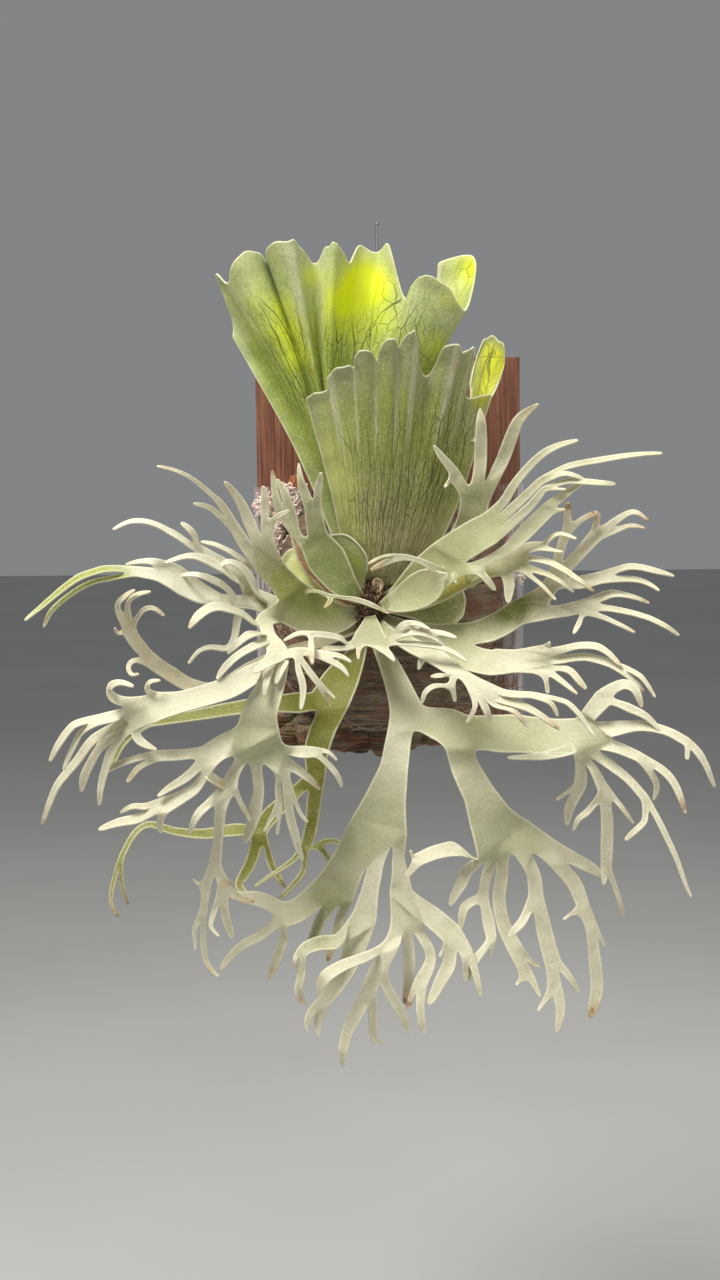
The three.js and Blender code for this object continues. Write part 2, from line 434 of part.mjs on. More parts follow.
const FRONT_SHIELD = [
  [[350, 590, 116], [333, 500, 130], [306, 399, 140]],
  [[352, 590, 116], [338, 496, 134], [316, 392, 146]],
  [[354, 589, 116], [344, 490, 137], [327, 390, 150]],
  [[356, 589, 116], [348, 486, 139], [328, 376, 153]],
  [[358, 588, 116], [354, 482, 141], [343, 366, 157]],
  [[361, 588, 116], [359, 480, 142], [354, 366, 156]],
  [[364, 587, 116], [364, 478, 143], [356, 354, 160]],
  [[367, 587, 116], [369, 476, 143], [368, 350, 162]],
  [[370, 586, 116], [375, 475, 143], [377, 359, 156]],
  [[373, 586, 116], [381, 474, 144], [383, 343, 162]],
  [[376, 586, 116], [387, 473, 144], [394, 338, 164]],
  [[379, 586, 116], [392, 472, 143], [398, 346, 158]],
  [[382, 586, 116], [398, 471, 143], [409, 332, 164]],
  [[385, 586, 116], [404, 471, 142], [417, 337, 162]],
  [[388, 586, 116], [410, 472, 140], [420, 369, 150]],
  [[391, 586, 116], [416, 473, 139], [430, 374, 148]],
  [[394, 587, 116], [422, 474, 139], [444, 348, 156]],
  [[397, 587, 116], [428, 476, 138], [459, 344, 156]],
  [[400, 588, 116], [434, 478, 136], [462, 352, 150]],
  [[403, 589, 116], [440, 480, 134], [471, 348, 148]],
  [[406, 590, 116], [444, 482, 133], [475, 348, 146]],
  [[409, 591, 116], [448, 485, 132], [472, 366, 144]],
  [[412, 592, 116], [452, 489, 131], [466, 396, 141]],
  [[414, 593, 116], [456, 494, 130], [480, 396, 138]],
  [[416, 594, 116], [459, 502, 129], [492, 394, 133]]];

const FRONT_EAR = [
  [[468, 442, 135], [470, 410, 130], [470, 385, 124]],
  [[469, 442, 135], [473, 402, 127], [475, 362, 118]],
  [[470, 442, 135], [476, 398, 125], [482, 343, 114]],
  [[471, 442, 135], [480, 396, 123], [491, 336, 112]],
  [[472, 442, 135], [484, 397, 123], [503, 345, 112]],
  [[473, 442, 135], [486, 400, 124], [504, 366, 114]],
  [[474, 442, 135], [487, 405, 127], [496, 388, 120]],
  [[475, 442, 135], [484, 420, 131], [488, 402, 128]]];

const YOUNG_SHIELD = [
  [[352, 600, 121], [340, 568, 124], [330, 535, 128]],
  [[355, 599, 121], [346, 564, 126], [345, 534, 130]],
  [[358, 598, 121], [354, 566, 127], [360, 545, 130]],
  [[361, 597, 121], [361, 572, 126], [368, 560, 128]],
  [[364, 597, 121], [365, 580, 124], [366, 574, 125]]];

const LOW_SHIELD_LEFT = [
  [[360, 603, 106], [325, 588, 107], [303, 546, 104]],
  [[359, 605, 106], [318, 592, 107], [288, 550, 103]],
  [[358, 608, 106], [314, 597, 107], [279, 567, 102]],
  [[357, 611, 106], [314, 603, 107], [279, 590, 102]],
  [[357, 614, 106], [318, 611, 107], [290, 610, 103]]];

const LOW_SHIELD_RIGHT = [
  [[382, 596, 103], [420, 588, 105], [455, 580, 104]],
  [[383, 600, 103], [424, 594, 105], [463, 590, 103]],
  [[384, 604, 103], [428, 602, 105], [466, 604, 102]],
  [[383, 608, 103], [424, 612, 105], [460, 620, 103]],
  [[382, 612, 103], [416, 620, 105], [440, 634, 104]]];

const OLD_STUB = [limb(
  [[363, 608, 112, 7], [342, 600, 112, 8], [322, 584, 112, 8], [306, 566, 112, 9], [298, 546, 112, 9],
    [293, 530, 112, 8], [291, 520, 112, 4]])];

// The camera's axes in the object's frame
function viewAxes() {
  const [yaw, pitch, roll] = [VIEW.yaw, VIEW.pitch, VIEW.roll].map(radians);
  const level = vector([Math.cos(yaw), Math.sin(yaw), 0]);
  const ahead = Math.cos(pitch);
  const forward = vector([-Math.sin(yaw) * ahead, Math.cos(yaw) * ahead, -Math.sin(pitch)]);
  const right = level.clone().applyAxisAngle(forward, roll);
  return { right, down: forward.clone().cross(right), forward };
}

const AXES = viewAxes();
const EYE = vector(VIEW.eye);

// A traced place: the point that lies `out` from the wall, and the millimetres that a pixel spans there
function place([across, down, out]) {
  const ray = AXES.forward.clone()
    .addScaledVector(AXES.right, (across - PICTURE.width / 2) / PICTURE.focal)
    .addScaledVector(AXES.down, (down - PICTURE.height / 2) / PICTURE.focal);
  const reach = (-out - EYE.y) / ray.y;
  return { at: EYE.clone().addScaledVector(ray, reach), pixel: reach / PICTURE.focal };
}

// An open sheet of triangles that a slab is made from
function newSheet() {
  return { points: [], triangles: [] };
}

function addPoint(sheet, point) {
  return sheet.points.push(point) - 1;
}

// Joins two rows of points, both from left to right, by the shorter diagonal each time. Rows may
// share an end point; a triangle never has all its corners in one row.
function zip(sheet, near, far) {
  const gap = (a, b) => sheet.points[a].distanceTo(sheet.points[b]);
  const [n, m] = [near.length - 1, far.length - 1];
  const [startsShared, endsShared] = [near[0] === far[0], near[n] === far[m]];
  const free = (i, j, size, otherSize) =>
    i < size && !(startsShared && j === 0 && i > 0) && !(endsShared && i + 1 === size && j < otherSize - 1);
  const join = (...corners) => {
    if (new Set(corners).size === 3) sheet.triangles.push(corners);
  };
  let [i, j] = [0, 0];
  while (i < n || j < m) {
    const nearFree = free(i, j, n, m);
    if (nearFree && (!free(j, i, m, n) || gap(near[i + 1], far[j]) <= gap(near[i], far[j + 1]))) {
      join(near[i], near[i + 1], far[j]);
      i += 1;
    } else {
      join(near[i], far[j + 1], far[j]);
      j += 1;
    }
  }
}

// The left, middle and right points of a row, seen along its direction. Far out from the wall every
// blade turns its face up.
function crossRow(row, along, face) {
  const { at, pixel } = place(row);
  const turned = THREE.MathUtils.smoothstep(row[2], TURNING.from, TURNING.to);
  const across = along.clone().cross(face.clone().lerp(vector(FACE_UP), turned)).normalize();
  const seen = (v) => new THREE.Vector2(v.dot(AXES.right), v.dot(AXES.down));
  const track = seen(along);
  const facing = track.lengthSq() > 0.04 ? Math.abs(seen(across).cross(track)) / track.length() : 1;
  const half = (row[3] * pixel) / 2 / Math.max(LEAST_FACING, facing);
  const normal = across.clone().cross(along).normalize();
  const middle = at.clone().addScaledVector(normal, -CUP * half);
  return {
    centre: at,
    width: 2 * half,
    left: at.clone().addScaledVector(across, -half),
    right: at.clone().addScaledVector(across, half),
    middle: row[3] >= WIDE_ROW ? middle : null,
  };
}

// The direction of a limb at each of its rows, with the row that it springs from before them
function directions(rows, before) {
  const path = [...(before ? [before] : []), ...rows].map((row) => place(row).at);
  const start = before ? 1 : 0;
  return rows.map((_, k) => {
    const i = k + start;
    const last = path[Math.max(i - 1, 0)];
    const next = path[Math.min(i + 1, path.length - 1)];
    return next.clone().sub(last).normalize();
  });
}

// How far a fork turns to the right of its parent, as seen in the picture
function turn([before, end], fork) {
  const heading = Math.atan2(end[1] - before[1], end[0] - before[0]);
  const first = fork.rows[0];
  const away = Math.atan2(first[1] - end[1], first[0] - end[0]);
  return Math.atan2(Math.sin(away - heading), Math.cos(away - heading));
}

// Where two neighbouring forks part: between the parent's last row and the forks' first rows,
// nearer to the parent the more room there is between them. `share` is the place along the row.
function crotch(parent, share, spare, a, b) {
  const from = parent.left.clone().lerp(parent.right, share);
  const halves = (a.width + b.width) / 2;
  const gap = a.centre.distanceTo(b.centre) - halves;
  const to = a.right.clone().add(b.left).multiplyScalar(0.5);
  if (gap <= SHARED_GAP * halves) return { at: to, shared: true };
  const overlap = halves * spare;
  return { at: from.lerp(to, Math.max(LEAST_WEB, overlap / (overlap + gap))), shared: false };
}

// Grows a limb and what it forks into. `start` is the edge of the parent that it springs from.
function grow(sheet, { rows, forks }, face, start, before) {
  const along = directions(rows, before);
  let last = start;
  let row = null;
  rows.forEach((traced, k) => {
    row = crossRow(traced, along[k], face);
    const given = k === 0 && start ? start : [];
    const ids = [row.left, row.middle, row.right]
      .map((p, side) => (p ? given[side] ?? addPoint(sheet, p) : null))
      .filter((id) => id !== null);
    if (last) zip(sheet, k === 0 && start ? start.edge : last, ids);
    last = ids;
  });
  if (!forks.length) return;

  const end = rows[rows.length - 1];
  const previous = rows.length > 1 ? rows[rows.length - 2] : before;
  const ordered = [...forks].sort((a, b) => turn([previous, end], a) - turn([previous, end], b));
  const firsts = ordered.map((fork) => crossRow(fork.rows[0], directions(fork.rows, end)[0], face));
  const widths = firsts.map((first) => first.width);
  const total = widths.reduce((sum, width) => sum + width, 0);
  const spare = Math.max(0, 1 - row.width / total);
  const parts = firsts.slice(1).map((first, k) => {
    const share = widths.slice(0, k + 1).reduce((sum, width) => sum + width, 0) / total;
    const { at, shared } = crotch(row, share, spare, firsts[k], first);
    return { id: addPoint(sheet, at), shared };
  });
  const bounds = [{ id: last[0] }, ...parts, { id: last[last.length - 1] }];
  zip(sheet, last, bounds.map((bound) => bound.id));
  ordered.forEach((fork, k) => {
    const [left, right] = [bounds[k], bounds[k + 1]];
    const shared = { 0: left.shared ? left.id : undefined, 2: right.shared ? right.id : undefined };
    grow(sheet, fork, face, { edge: [left.id, right.id], ...shared }, end);
  });
}

// Joins two rows of as many points
function addBand(sheet, near, far) {
  for (let i = 0; i < near.length - 1; i += 1) {
    sheet.triangles.push([near[i], near[i + 1], far[i + 1]], [near[i], far[i + 1], far[i]]);
  }
}

// A fan of ribs as a sheet with `rows` rows from base to rim
function fan(ribs, rows) {
  const sheet = newSheet();
  const curves = ribs.map((rib) => new THREE.CatmullRomCurve3(rib.map((p) => place(p).at)));
  let last = null;
  for (let k = 0; k <= rows; k += 1) {
    const next = curves.map((curve) => addPoint(sheet, curve.getPoint(k / rows)));
    if (last) addBand(sheet, last, next);
    last = next;
  }
  return sheet;
}

// A closed slab round a sheet, with the same triangles on both faces
function slab({ points, triangles }, thick) {
  const normals = points.map(() => new THREE.Vector3());
  const edges = new Set();
  for (const [a, b, c] of triangles) {
    const normal = points[b].clone().sub(points[a]).cross(points[c].clone().sub(points[a]));
    for (const k of [a, b, c]) normals[k].add(normal);
    for (const [from, to] of [[a, b], [b, c], [c, a]]) edges.add(`${from} ${to}`);
  }
  const faces = [];
  const count = points.length;
  for (const [a, b, c] of triangles) {
    faces.push([a, b, c], [a + count, c + count, b + count]);
    for (const [from, to] of [[a, b], [b, c], [c, a]]) {
      if (edges.has(`${to} ${from}`)) continue;
      faces.push([from, from + count, to + count], [from, to + count, to]);
    }
  }
  for (const normal of normals) normal.normalize();
  const side = (way) => points.map((p, k) => p.clone().addScaledVector(normals[k], (way * thick) / 2));
  return triangleGeometry([...side(1), ...side(-1)], faces);
}

function triangleGeometry(points, faces) {
  const geometry = new THREE.BufferGeometry();
  geometry.setAttribute("position", new THREE.Float32BufferAttribute(points.flatMap((p) => p.toArray()), 3));
  geometry.setIndex(faces.flat());
  return geometry;
}

// Joining and cutting
const wasm = await Module();
wasm.setup();

function solid(geometry) {
  const bare = geometry.clone();
  bare.deleteAttribute("normal");
  bare.deleteAttribute("uv");
  const merged = mergeVertices(bare, 1e-4);
  return new wasm.Manifold(new wasm.Mesh({
    numProp: 3,
    vertProperties: new Float32Array(merged.attributes.position.array),
    triVerts: new Uint32Array(merged.index.array),
  }));
}

function geometryOf(manifold) {
  const mesh = manifold.getMesh();
  const geometry = new THREE.BufferGeometry();
  geometry.setAttribute("position", new THREE.BufferAttribute(mesh.vertProperties, 3));
  geometry.setIndex(new THREE.BufferAttribute(mesh.triVerts, 1));
  return geometry;
}

// A rounded block: a sphere's directions pushed out to a superellipsoid, then moved by `shape`
function roundedSolid(columns, rows, shape) {
  const sphere = new THREE.SphereGeometry(1, columns, rows);
  sphere.rotateX(Math.PI / 2);
  const position = sphere.attributes.position;
  const point = new THREE.Vector3();
  for (let k = 0; k < position.count; k += 1) {
    point.fromBufferAttribute(position, k);
    shape(point);
    position.setXYZ(k, point.x, point.y, point.z);
  }
  return sphere;
}

// A place on the mound, from a direction on a unit sphere: flat against the board, bulging to the front
function moundPoint(direction, grown) {
  const swell = (v, power) => Math.sign(v) * Math.abs(v) ** power;
  return vector([
    BALL.centreX + (BALL.width / 2 + grown) * swell(direction.x, BALL.square),
    -BOARD.thick - SEAT_GAP - (BALL.depth + grown) * Math.max(0, -direction.y) ** BALL.bulge,
    BALL.centreZ + (BALL.height / 2 + grown) * swell(direction.z, BALL.square),
  ]);
}

// The mound with the ridges of its bound layers
function ballGeometry(grown) {
  return roundedSolid(30, 20, (p) => {
    const ridge = BALL.relief * Math.max(0, 1 - Math.abs(p.z)) * (Math.cos(p.z * BALL.layers) - 1);
    p.copy(moundPoint(p, grown + ridge));
  });
}

// The outline round points in a plane, from the lowest x to the highest along the -y side
function outerSide(points) {
  const sorted = [...points].sort((a, b) => a.x - b.x || b.y - a.y);
  const side = [];
  for (const p of sorted) {
    const bends = () => {
      const [a, b] = side.slice(-2);
      return (b.x - a.x) * (p.y - a.y) - (b.y - a.y) * (p.x - a.x) <= 0;
    };
    while (side.length > 1 && bends()) side.pop();
    side.push(p);
  }
  return side;
}

// The film's section at a level of the mound: from one side of the board, tight over the mound, to
// the other side. `tilt` runs from -1 at the mound's bottom to 1 at its top.
function filmSection(tilt) {
  const radius = Math.sqrt(1 - tilt * tilt);
  const edge = BOARD.width / 2 + FILM.clear;
  const [lap, corner] = [-BOARD.thick + FILM.lap, -BOARD.thick - FILM.clear];
  const over = [];
  for (let k = 0; k <= 24; k += 1) {
    const angle = (Math.PI * k) / 24;
    over.push(moundPoint(vector([radius * Math.cos(angle), -radius * Math.sin(angle), tilt]), FILM.clear));
  }
  const { z } = over[0];
  const at = (x, y) => vector([x, y, z]);
  const side = outerSide([at(-edge, corner), ...over, at(edge, corner)]);
  const path = new THREE.CurvePath();
  side.slice(1).forEach((p, k) => path.add(new THREE.LineCurve3(side[k], p)));
  const middle = Array.from({ length: FILM.columns + 1 }, (_, k) => path.getPoint(k / FILM.columns));
  return [at(-edge, lap), ...middle, at(edge, lap)];
}

function filmGeometry() {
  const sheet = newSheet();
  let last = null;
  for (let k = 0; k <= FILM.rows; k += 1) {
    const angle = THREE.MathUtils.lerp(FILM.low, FILM.high, k / FILM.rows);
    const next = filmSection(Math.sin(radians(angle))).map((p) => addPoint(sheet, p));
    if (last) addBand(sheet, last, next);
    last = next;
  }
  const window = new THREE.CylinderGeometry(FILM.window / 2, FILM.window / 2, BALL.depth, 20);
  window.translate(...place(BUD_PLACE).at.toArray());
  return geometryOf(solid(slab(sheet, FILM.thick)).subtract(solid(window)));
}

function budGeometry(grown) {
  const centre = place(BUD_PLACE).at;
  return roundedSolid(18, 14, (p) => {
    const by = grown + BUD.relief * (Math.cos(p.z * BUD.scales + 3 * Math.atan2(p.y, p.x)) - 1);
    p.multiply(vector([BUD.across / 2 + by, BUD.deep / 2 + by, BUD.tall / 2 + by])).add(centre);
  });
}

function discGeometry() {
  const centre = place(DISC_PLACE).at;
  return roundedSolid(14, 8, (p) => {
    p.multiply(vector([DISC.across / 2, DISC.thick / 2, DISC.tall / 2])).add(centre);
  });
}

// The plank: its section, with the grooves on the front face, drawn in plan and extruded upward
function boardGeometry() {
  const half = BOARD.width / 2;
  const plan = new THREE.Shape();
  plan.moveTo(half, 0);
  plan.lineTo(-half, 0);
  plan.lineTo(-half, -BOARD.thick);
  const pitch = BOARD.width / (BOARD.grooves + 1);
  for (let k = 1; k <= BOARD.grooves; k += 1) {
    const x = -half + k * pitch;
    plan.lineTo(x - BOARD.grooveWidth / 2, -BOARD.thick);
    plan.lineTo(x, -BOARD.thick + BOARD.grooveDepth);
    plan.lineTo(x + BOARD.grooveWidth / 2, -BOARD.thick);
  }
  plan.lineTo(half, -BOARD.thick);
  plan.closePath();
  const plank = new THREE.ExtrudeGeometry(plan, { depth: BOARD.height, bevelEnabled: false });
  plank.translate(0, 0, -BOARD.height / 2);
  let board = solid(plank);
  const bore = WIRE.radius + WIRE.play;
  for (const side of [-1, 1]) {
    const hole = new THREE.CylinderGeometry(bore, bore, WIRE.seat * 2, 12);
    hole.rotateX(Math.PI / 2);
    hole.translate(WIRE.x + (side * WIRE.spread) / 2, -BOARD.thick / 2, BOARD.height / 2);
    board = board.subtract(solid(hole));
  }
  return geometryOf(board);
}

// The hairpin: two straight legs and the upper half of a ring
function wireGeometry() {
  const at = [WIRE.x, -BOARD.thick / 2];
  const bend = WIRE.apex - WIRE.spread / 2 - WIRE.radius;
  const foot = BOARD.height / 2 - WIRE.seat + WIRE.play;
  const ring = new THREE.TorusGeometry(WIRE.spread / 2, WIRE.radius, 10, 20);
  ring.rotateX(Math.PI / 2);
  const lower = new THREE.BoxGeometry(2 * WIRE.spread, 2 * WIRE.spread, WIRE.spread);
  lower.translate(0, 0, -WIRE.spread / 2 - 0.01);
  let wire = solid(ring).subtract(solid(lower)).translate([...at, bend]);
  for (const side of [-1, 1]) {
    const leg = new THREE.CylinderGeometry(WIRE.radius, WIRE.radius, bend - foot, 10);
    leg.rotateX(Math.PI / 2);
    leg.translate(at[0] + (side * WIRE.spread) / 2, at[1], (bend + foot) / 2);
    wire = wire.add(solid(leg));
  }
  return geometryOf(wire);
}

const group = new THREE.Group();

function add(name, geometry, color, roughness, metalness = 0) {
  const mesh = new THREE.Mesh(geometry, new THREE.MeshStandardMaterial({ color, roughness, metalness }));
  mesh.name = name;
  group.add(mesh);
}

const budClear = solid(budGeometry(SEAT_GAP));

// The `out` of a place on a sheet's face, as seen from the eye
function faceOut(sheet, [across, down]) {
  const ray = new THREE.Ray(EYE, place([across, down, 0]).at.sub(EYE).normalize());
  const hits = sheet.triangles
    .map((ids) => ids.map((k) => sheet.points[k]))
    .map((corners) => ray.intersectTriangle(...corners, false, new THREE.Vector3()))
    .filter(Boolean);
  if (!hits.length) throw new Error(`${across}, ${down} isn't on the blade`);
  return Math.max(...hits.map((hit) => -hit.y));
}

function frondSolid([blade, ...strands], facing) {
  const face = vector(facing);
  const sheet = newSheet();
  grow(sheet, blade, face, null, null);
  let frond = solid(slab(sheet, FROND_THICK));
  for (const { rows, forks } of strands) {
    const settled = rows.map(([u, v, out, width]) => [u, v, out === ON ? faceOut(sheet, [u, v]) : out, width]);
    const strand = newSheet();
    grow(strand, limb(settled, ...forks), face, null, null);
    frond = frond.add(solid(slab(strand, FROND_THICK)));
  }
  return frond;
}

function addFrond(name, traced, facing, color) {
  add(name, geometryOf(frondSolid(traced, facing).subtract(budClear)), color, 0.85);
}

function addShield(name, fans, rows, color) {
  const [leaf, ...lobes] = fans.map((ribs) => solid(slab(fan(ribs, rows), SHIELD_THICK)));
  const whole = lobes.reduce((sum, lobe) => sum.add(lobe), leaf);
  add(name, geometryOf(whole.subtract(budClear)), color, 0.7);
}

add("board", boardGeometry(), "#6f4234", 0.75);
add("hanging_wire", wireGeometry(), "#8d8f92", 0.35, 1);
add("root_ball", geometryOf(solid(ballGeometry(0)).subtract(budClear)), "#57483a", 0.95);
add("bud", budGeometry(0), "#3a2a20", 0.95);
add("young_frond", geometryOf(solid(discGeometry()).subtract(budClear)), "#b8a88c", 0.9);
add("film", filmGeometry(), "#dfe3e2", 0.25);

addShield("back_shield", [BACK_SHIELD], 8, LIME);
addShield("front_shield", [FRONT_SHIELD, FRONT_EAR], 8, GREEN);
addShield("young_shield", [YOUNG_SHIELD], 4, GREEN);
addShield("low_shield_left", [LOW_SHIELD_LEFT], 4, LIME);
addShield("low_shield_right", [LOW_SHIELD_RIGHT], 4, GREEN);

addFrond("old_stub", OLD_STUB, FACE_FRONT, "#a07a4c");
addFrond("antler_left", LEFT, FACE_FRONT, PALE);
addFrond("antler_inner_left", INNER_LEFT, FACE_FRONT, GREEN);
addFrond("antler_arch_left", ARCH_LEFT, FACE_UP, PALE);
addFrond("antler_curled_left", CURLED_LEFT, FACE_UP, PALE);
addFrond("antler_low_left", LOW_LEFT, FACE_UP, GREEN);
addFrond("antler_centre", CENTRE, FACE_UP, PALE);
addFrond("antler_front", FRONT, FACE_UP, PALE);
addFrond("antler_tall_right", TALL_RIGHT, FACE_FRONT, GREEN);
addFrond("antler_fold_right", FOLD_RIGHT, FACE_FRONT, GREEN);
addFrond("antler_middle_right", MIDDLE_RIGHT, FACE_UP, PALE);
addFrond("antler_right", RIGHT, FACE_UP, PALE);
addFrond("antler_front_right", FRONT_RIGHT, FACE_UP, PALE);

export default group;
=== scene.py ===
# A staghorn fern on its hanging board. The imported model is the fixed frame. The leaves are grown
# again from the same traced limbs, with smooth edges, felt, veins and colour, and the mound gets
# its layers, fibres, moss and film.
import math
import random

import bpy
from mathutils import Matrix, Vector, geometry, kdtree, noise


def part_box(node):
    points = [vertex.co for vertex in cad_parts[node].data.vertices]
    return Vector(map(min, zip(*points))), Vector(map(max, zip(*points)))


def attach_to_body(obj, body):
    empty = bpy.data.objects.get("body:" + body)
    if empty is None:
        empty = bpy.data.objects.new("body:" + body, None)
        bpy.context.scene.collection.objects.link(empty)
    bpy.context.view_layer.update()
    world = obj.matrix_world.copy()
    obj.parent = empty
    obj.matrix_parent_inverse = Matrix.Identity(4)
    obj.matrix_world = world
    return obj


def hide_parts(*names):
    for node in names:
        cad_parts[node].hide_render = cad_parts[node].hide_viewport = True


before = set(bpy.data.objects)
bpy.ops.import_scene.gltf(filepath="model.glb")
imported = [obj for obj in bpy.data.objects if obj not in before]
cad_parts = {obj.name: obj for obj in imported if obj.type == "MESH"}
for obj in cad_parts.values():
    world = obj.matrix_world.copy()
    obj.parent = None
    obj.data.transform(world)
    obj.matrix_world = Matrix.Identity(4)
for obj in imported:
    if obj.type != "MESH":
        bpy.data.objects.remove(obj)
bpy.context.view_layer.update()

MM = 0.001

# Traced places are [across, down, out, width]: across, down and width in the pixels of a picture
# 720 wide and 1280 high that is seen from EYE, and out in millimetres from the wall.
PICTURE = (720, 1280)
FOCAL = 1620
EYE = Vector((44.5, -1224.4, 41.6))
YAW, PITCH, ROLL = (math.radians(angle) for angle in (3.17, 5.17, 0.72))

# Shapes of the blades, in millimetres where they are lengths
FROND_THICK = 1.2
SHIELD_THICK = 1.3
CUP = 0.16
LEAST_FACING = 0.5
SHORT_TRACK = 0.2
SHARED_GAP = 0.15
LEAST_WEB = 0.2
ROW_STEP = 7
TWIST, TWIST_SIZE = 0.5, 22
CURLED = 16
TIP_REACH, TIP_WIDTHS = 0.5, (0.86, 0.42)
STRAND_RUN = 120
CREASE = 0.35
SWAY, SWAY_SIZE = 1.2, 26
FLUTTER, FLUTTER_SIZE = 0.35 * SWAY, 9
FACE_UP = Vector((0, -0.75, 0.66))
FACE_FRONT = Vector((0, -1, 0.12))
TURNING = (165, 215)

# Widths in pixels from which a row has more points, no longer twists and isn't fine at all
WIDE_ROW, STIFF_ROW, BROAD_ROW = 13, 40, 45

# Places across a row, and how far they are let out because subdivision draws the edge in
NARROW = ((-1, 1.06), (0, 1), (1, 1.06))
WIDE = ((-1, 1.01), (-0.78, 1), (0, 1), (0.78, 1), (1, 1.01))

# A shield's points across each gap between ribs and along its ribs, crowded toward its edge, and
# how its edge is ragged, curled and waved
ACROSS_STEPS, ALONG_STEPS, CROWDING = 5, 44, 1.25
RAG, RAGGED_FROM = 2.6, 0.8
CURL, CURLED_FROM = 1.5, 0.93
WAVE, WAVE_SIZE, WAVY_BAND = 1.2, 13, 40
SWELL, SWELL_SIZE = 0.5, 22
RIB_WIDTH, RIB_HEIGHT, RIB_RISE = 0.6, 0.45, (0.4, 0.75)

# The mound, and the board's face that it lies on
BALL = {"width": 176, "height": 190, "depth": 76, "x": 3, "z": -45, "square": 0.8, "bulge": 0.7}
BOARD_FACE = -18.3


# A limb is a run of traced rows, then the limbs that it forks into. A frond is a list of limbs:
# its blade, then strands that spring from the blade's face where a row's `out` is ON.
def limb(rows, *forks):
    return rows, forks


ON = None


LEFT_TOP = limb([[272, 572, 143, 26]],
  limb([[250, 551, 149, 13], [235, 528, 155, 10]],
    limb([[224, 508, 162, 8], [213, 496, 170, 5], [188, 476, 182, 4], [160, 465, 190, 3]]),
    limb([[219, 515, 160, 6], [209, 507, 168, 5], [198, 504, 175, 4]])),
  limb([[263, 545, 150, 22]],
    limb([[250, 523, 152, 12], [241, 503, 158, 9], [227, 483, 165, 5]]),
    limb([[267, 525, 152, 12]],
      limb([[265, 506, 155, 8], [265, 488, 160, 6]]),
      limb([[276, 517, 157, 6], [288, 511, 162, 4]]))))

LEFT_OUTER = limb(
  [[256, 672, 242, 20], [232, 686, 246, 22], [206, 695, 250, 21], [180, 702, 254, 21], [158, 706, 256, 28]],
  limb([[136, 729, 260, 10], [141, 742, 262, 8], [155, 748, 264, 3]]),
  limb([[128, 724, 258, 22]],
    limb([[112, 748, 260, 8], [106, 766, 262, 8], [101, 784, 262, 7], [99, 803, 262, 4]]),
    limb([[103, 744, 258, 8], [92, 760, 258, 8], [84, 776, 258, 9], [80, 789, 258, 5]]),
    limb([[97, 736, 256, 9], [76, 762, 254, 8], [58, 784, 252, 7], [49, 804, 250, 6], [42, 822, 248, 3]])),
  limb([[124, 714, 262, 11], [98, 720, 266, 10]],
    limb([[82, 730, 268, 6], [74, 745, 268, 6], [63, 769, 268, 3]]),
    limb([[76, 723, 270, 7], [60, 742, 270, 7], [52, 758, 268, 4]])),
  limb([[128, 702, 260, 8], [113, 698, 264, 9], [109, 687, 268, 8], [120, 682, 270, 5], [132, 686, 272, 4]]),
  limb([[146, 691, 256, 7], [148, 682, 258, 5], [159, 679, 260, 3]]))

LEFT_LOWER = limb([[268, 690, 244, 30], [260, 712, 246, 35], [258, 730, 245, 44]],
  limb([[262, 751, 242, 42]],
    limb([[300, 752, 242, 12], [316, 752, 240, 9]],
      limb([[329, 765, 238, 6], [338, 776, 236, 5], [342, 786, 234, 3]]),
      limb([[327, 751, 240, 4], [335, 759, 238, 3]])),
    limb([[283, 766, 240, 20]],
      limb([[303, 774, 238, 8], [320, 788, 234, 3]]),
      limb([[288, 790, 236, 10]],
        limb([[299, 812, 232, 4], [308, 821, 230, 3]]),
        limb([[290, 816, 232, 9], [296, 838, 228, 8], [299, 857, 224, 4]])),
      limb([[278, 786, 236, 7], [280, 803, 234, 7]],
        limb([[277, 832, 228, 4]]),
        limb([[266, 829, 230, 4]]))),
    limb([[257, 772, 238, 11], [259, 790, 236, 10], [254, 814, 232, 14], [247, 840, 228, 5]]),
    limb([[237, 768, 242, 11], [229, 786, 244, 18]],
      limb([[240, 802, 240, 5], [249, 818, 234, 4]]),
      limb([[221, 806, 244, 12], [218, 838, 240, 9], [215, 864, 236, 12]],
        limb([[224, 884, 234, 10]],
          limb([[233, 882, 234, 3]]),
          limb([[239, 898, 230, 6], [252, 900, 226, 3]]),
          limb([[224, 912, 232, 9], [232, 934, 228, 7]]),
          limb([[214, 912, 234, 6], [210, 928, 237, 4], [216, 935, 239, 3]])),
        limb([[206, 888, 234, 9]],
          limb([[203, 914, 232, 7]],
            limb([[203, 942, 230, 6], [207, 964, 228, 5], [216, 975, 230, 3]]),
            limb([[194, 928, 232, 5], [197, 947, 230, 3]])),
          limb([[194, 880, 236, 3]]))),
      limb([[211, 802, 248, 8], [198, 814, 252, 8], [189, 831, 252, 4]]))),
  limb([[226, 744, 246, 22], [208, 757, 248, 24]],
    limb([[199, 784, 248, 10], [183, 796, 252, 12], [163, 806, 256, 17]],
      limb([[159, 820, 256, 8], [161, 829, 256, 6]]),
      limb([[140, 818, 260, 9], [120, 822, 262, 8], [102, 828, 264, 5]]),
      limb([[146, 807, 258, 6], [132, 806, 260, 5], [121, 811, 260, 3]])),
    limb([[188, 776, 250, 9], [172, 786, 254, 7], [159, 794, 256, 4]]),
    limb([[180, 755, 250, 10], [155, 756, 254, 10]],
      limb([[140, 766, 256, 6], [128, 780, 258, 5]]),
      limb([[134, 759, 256, 6], [116, 765, 253, 6], [102, 772, 250, 4]]))))

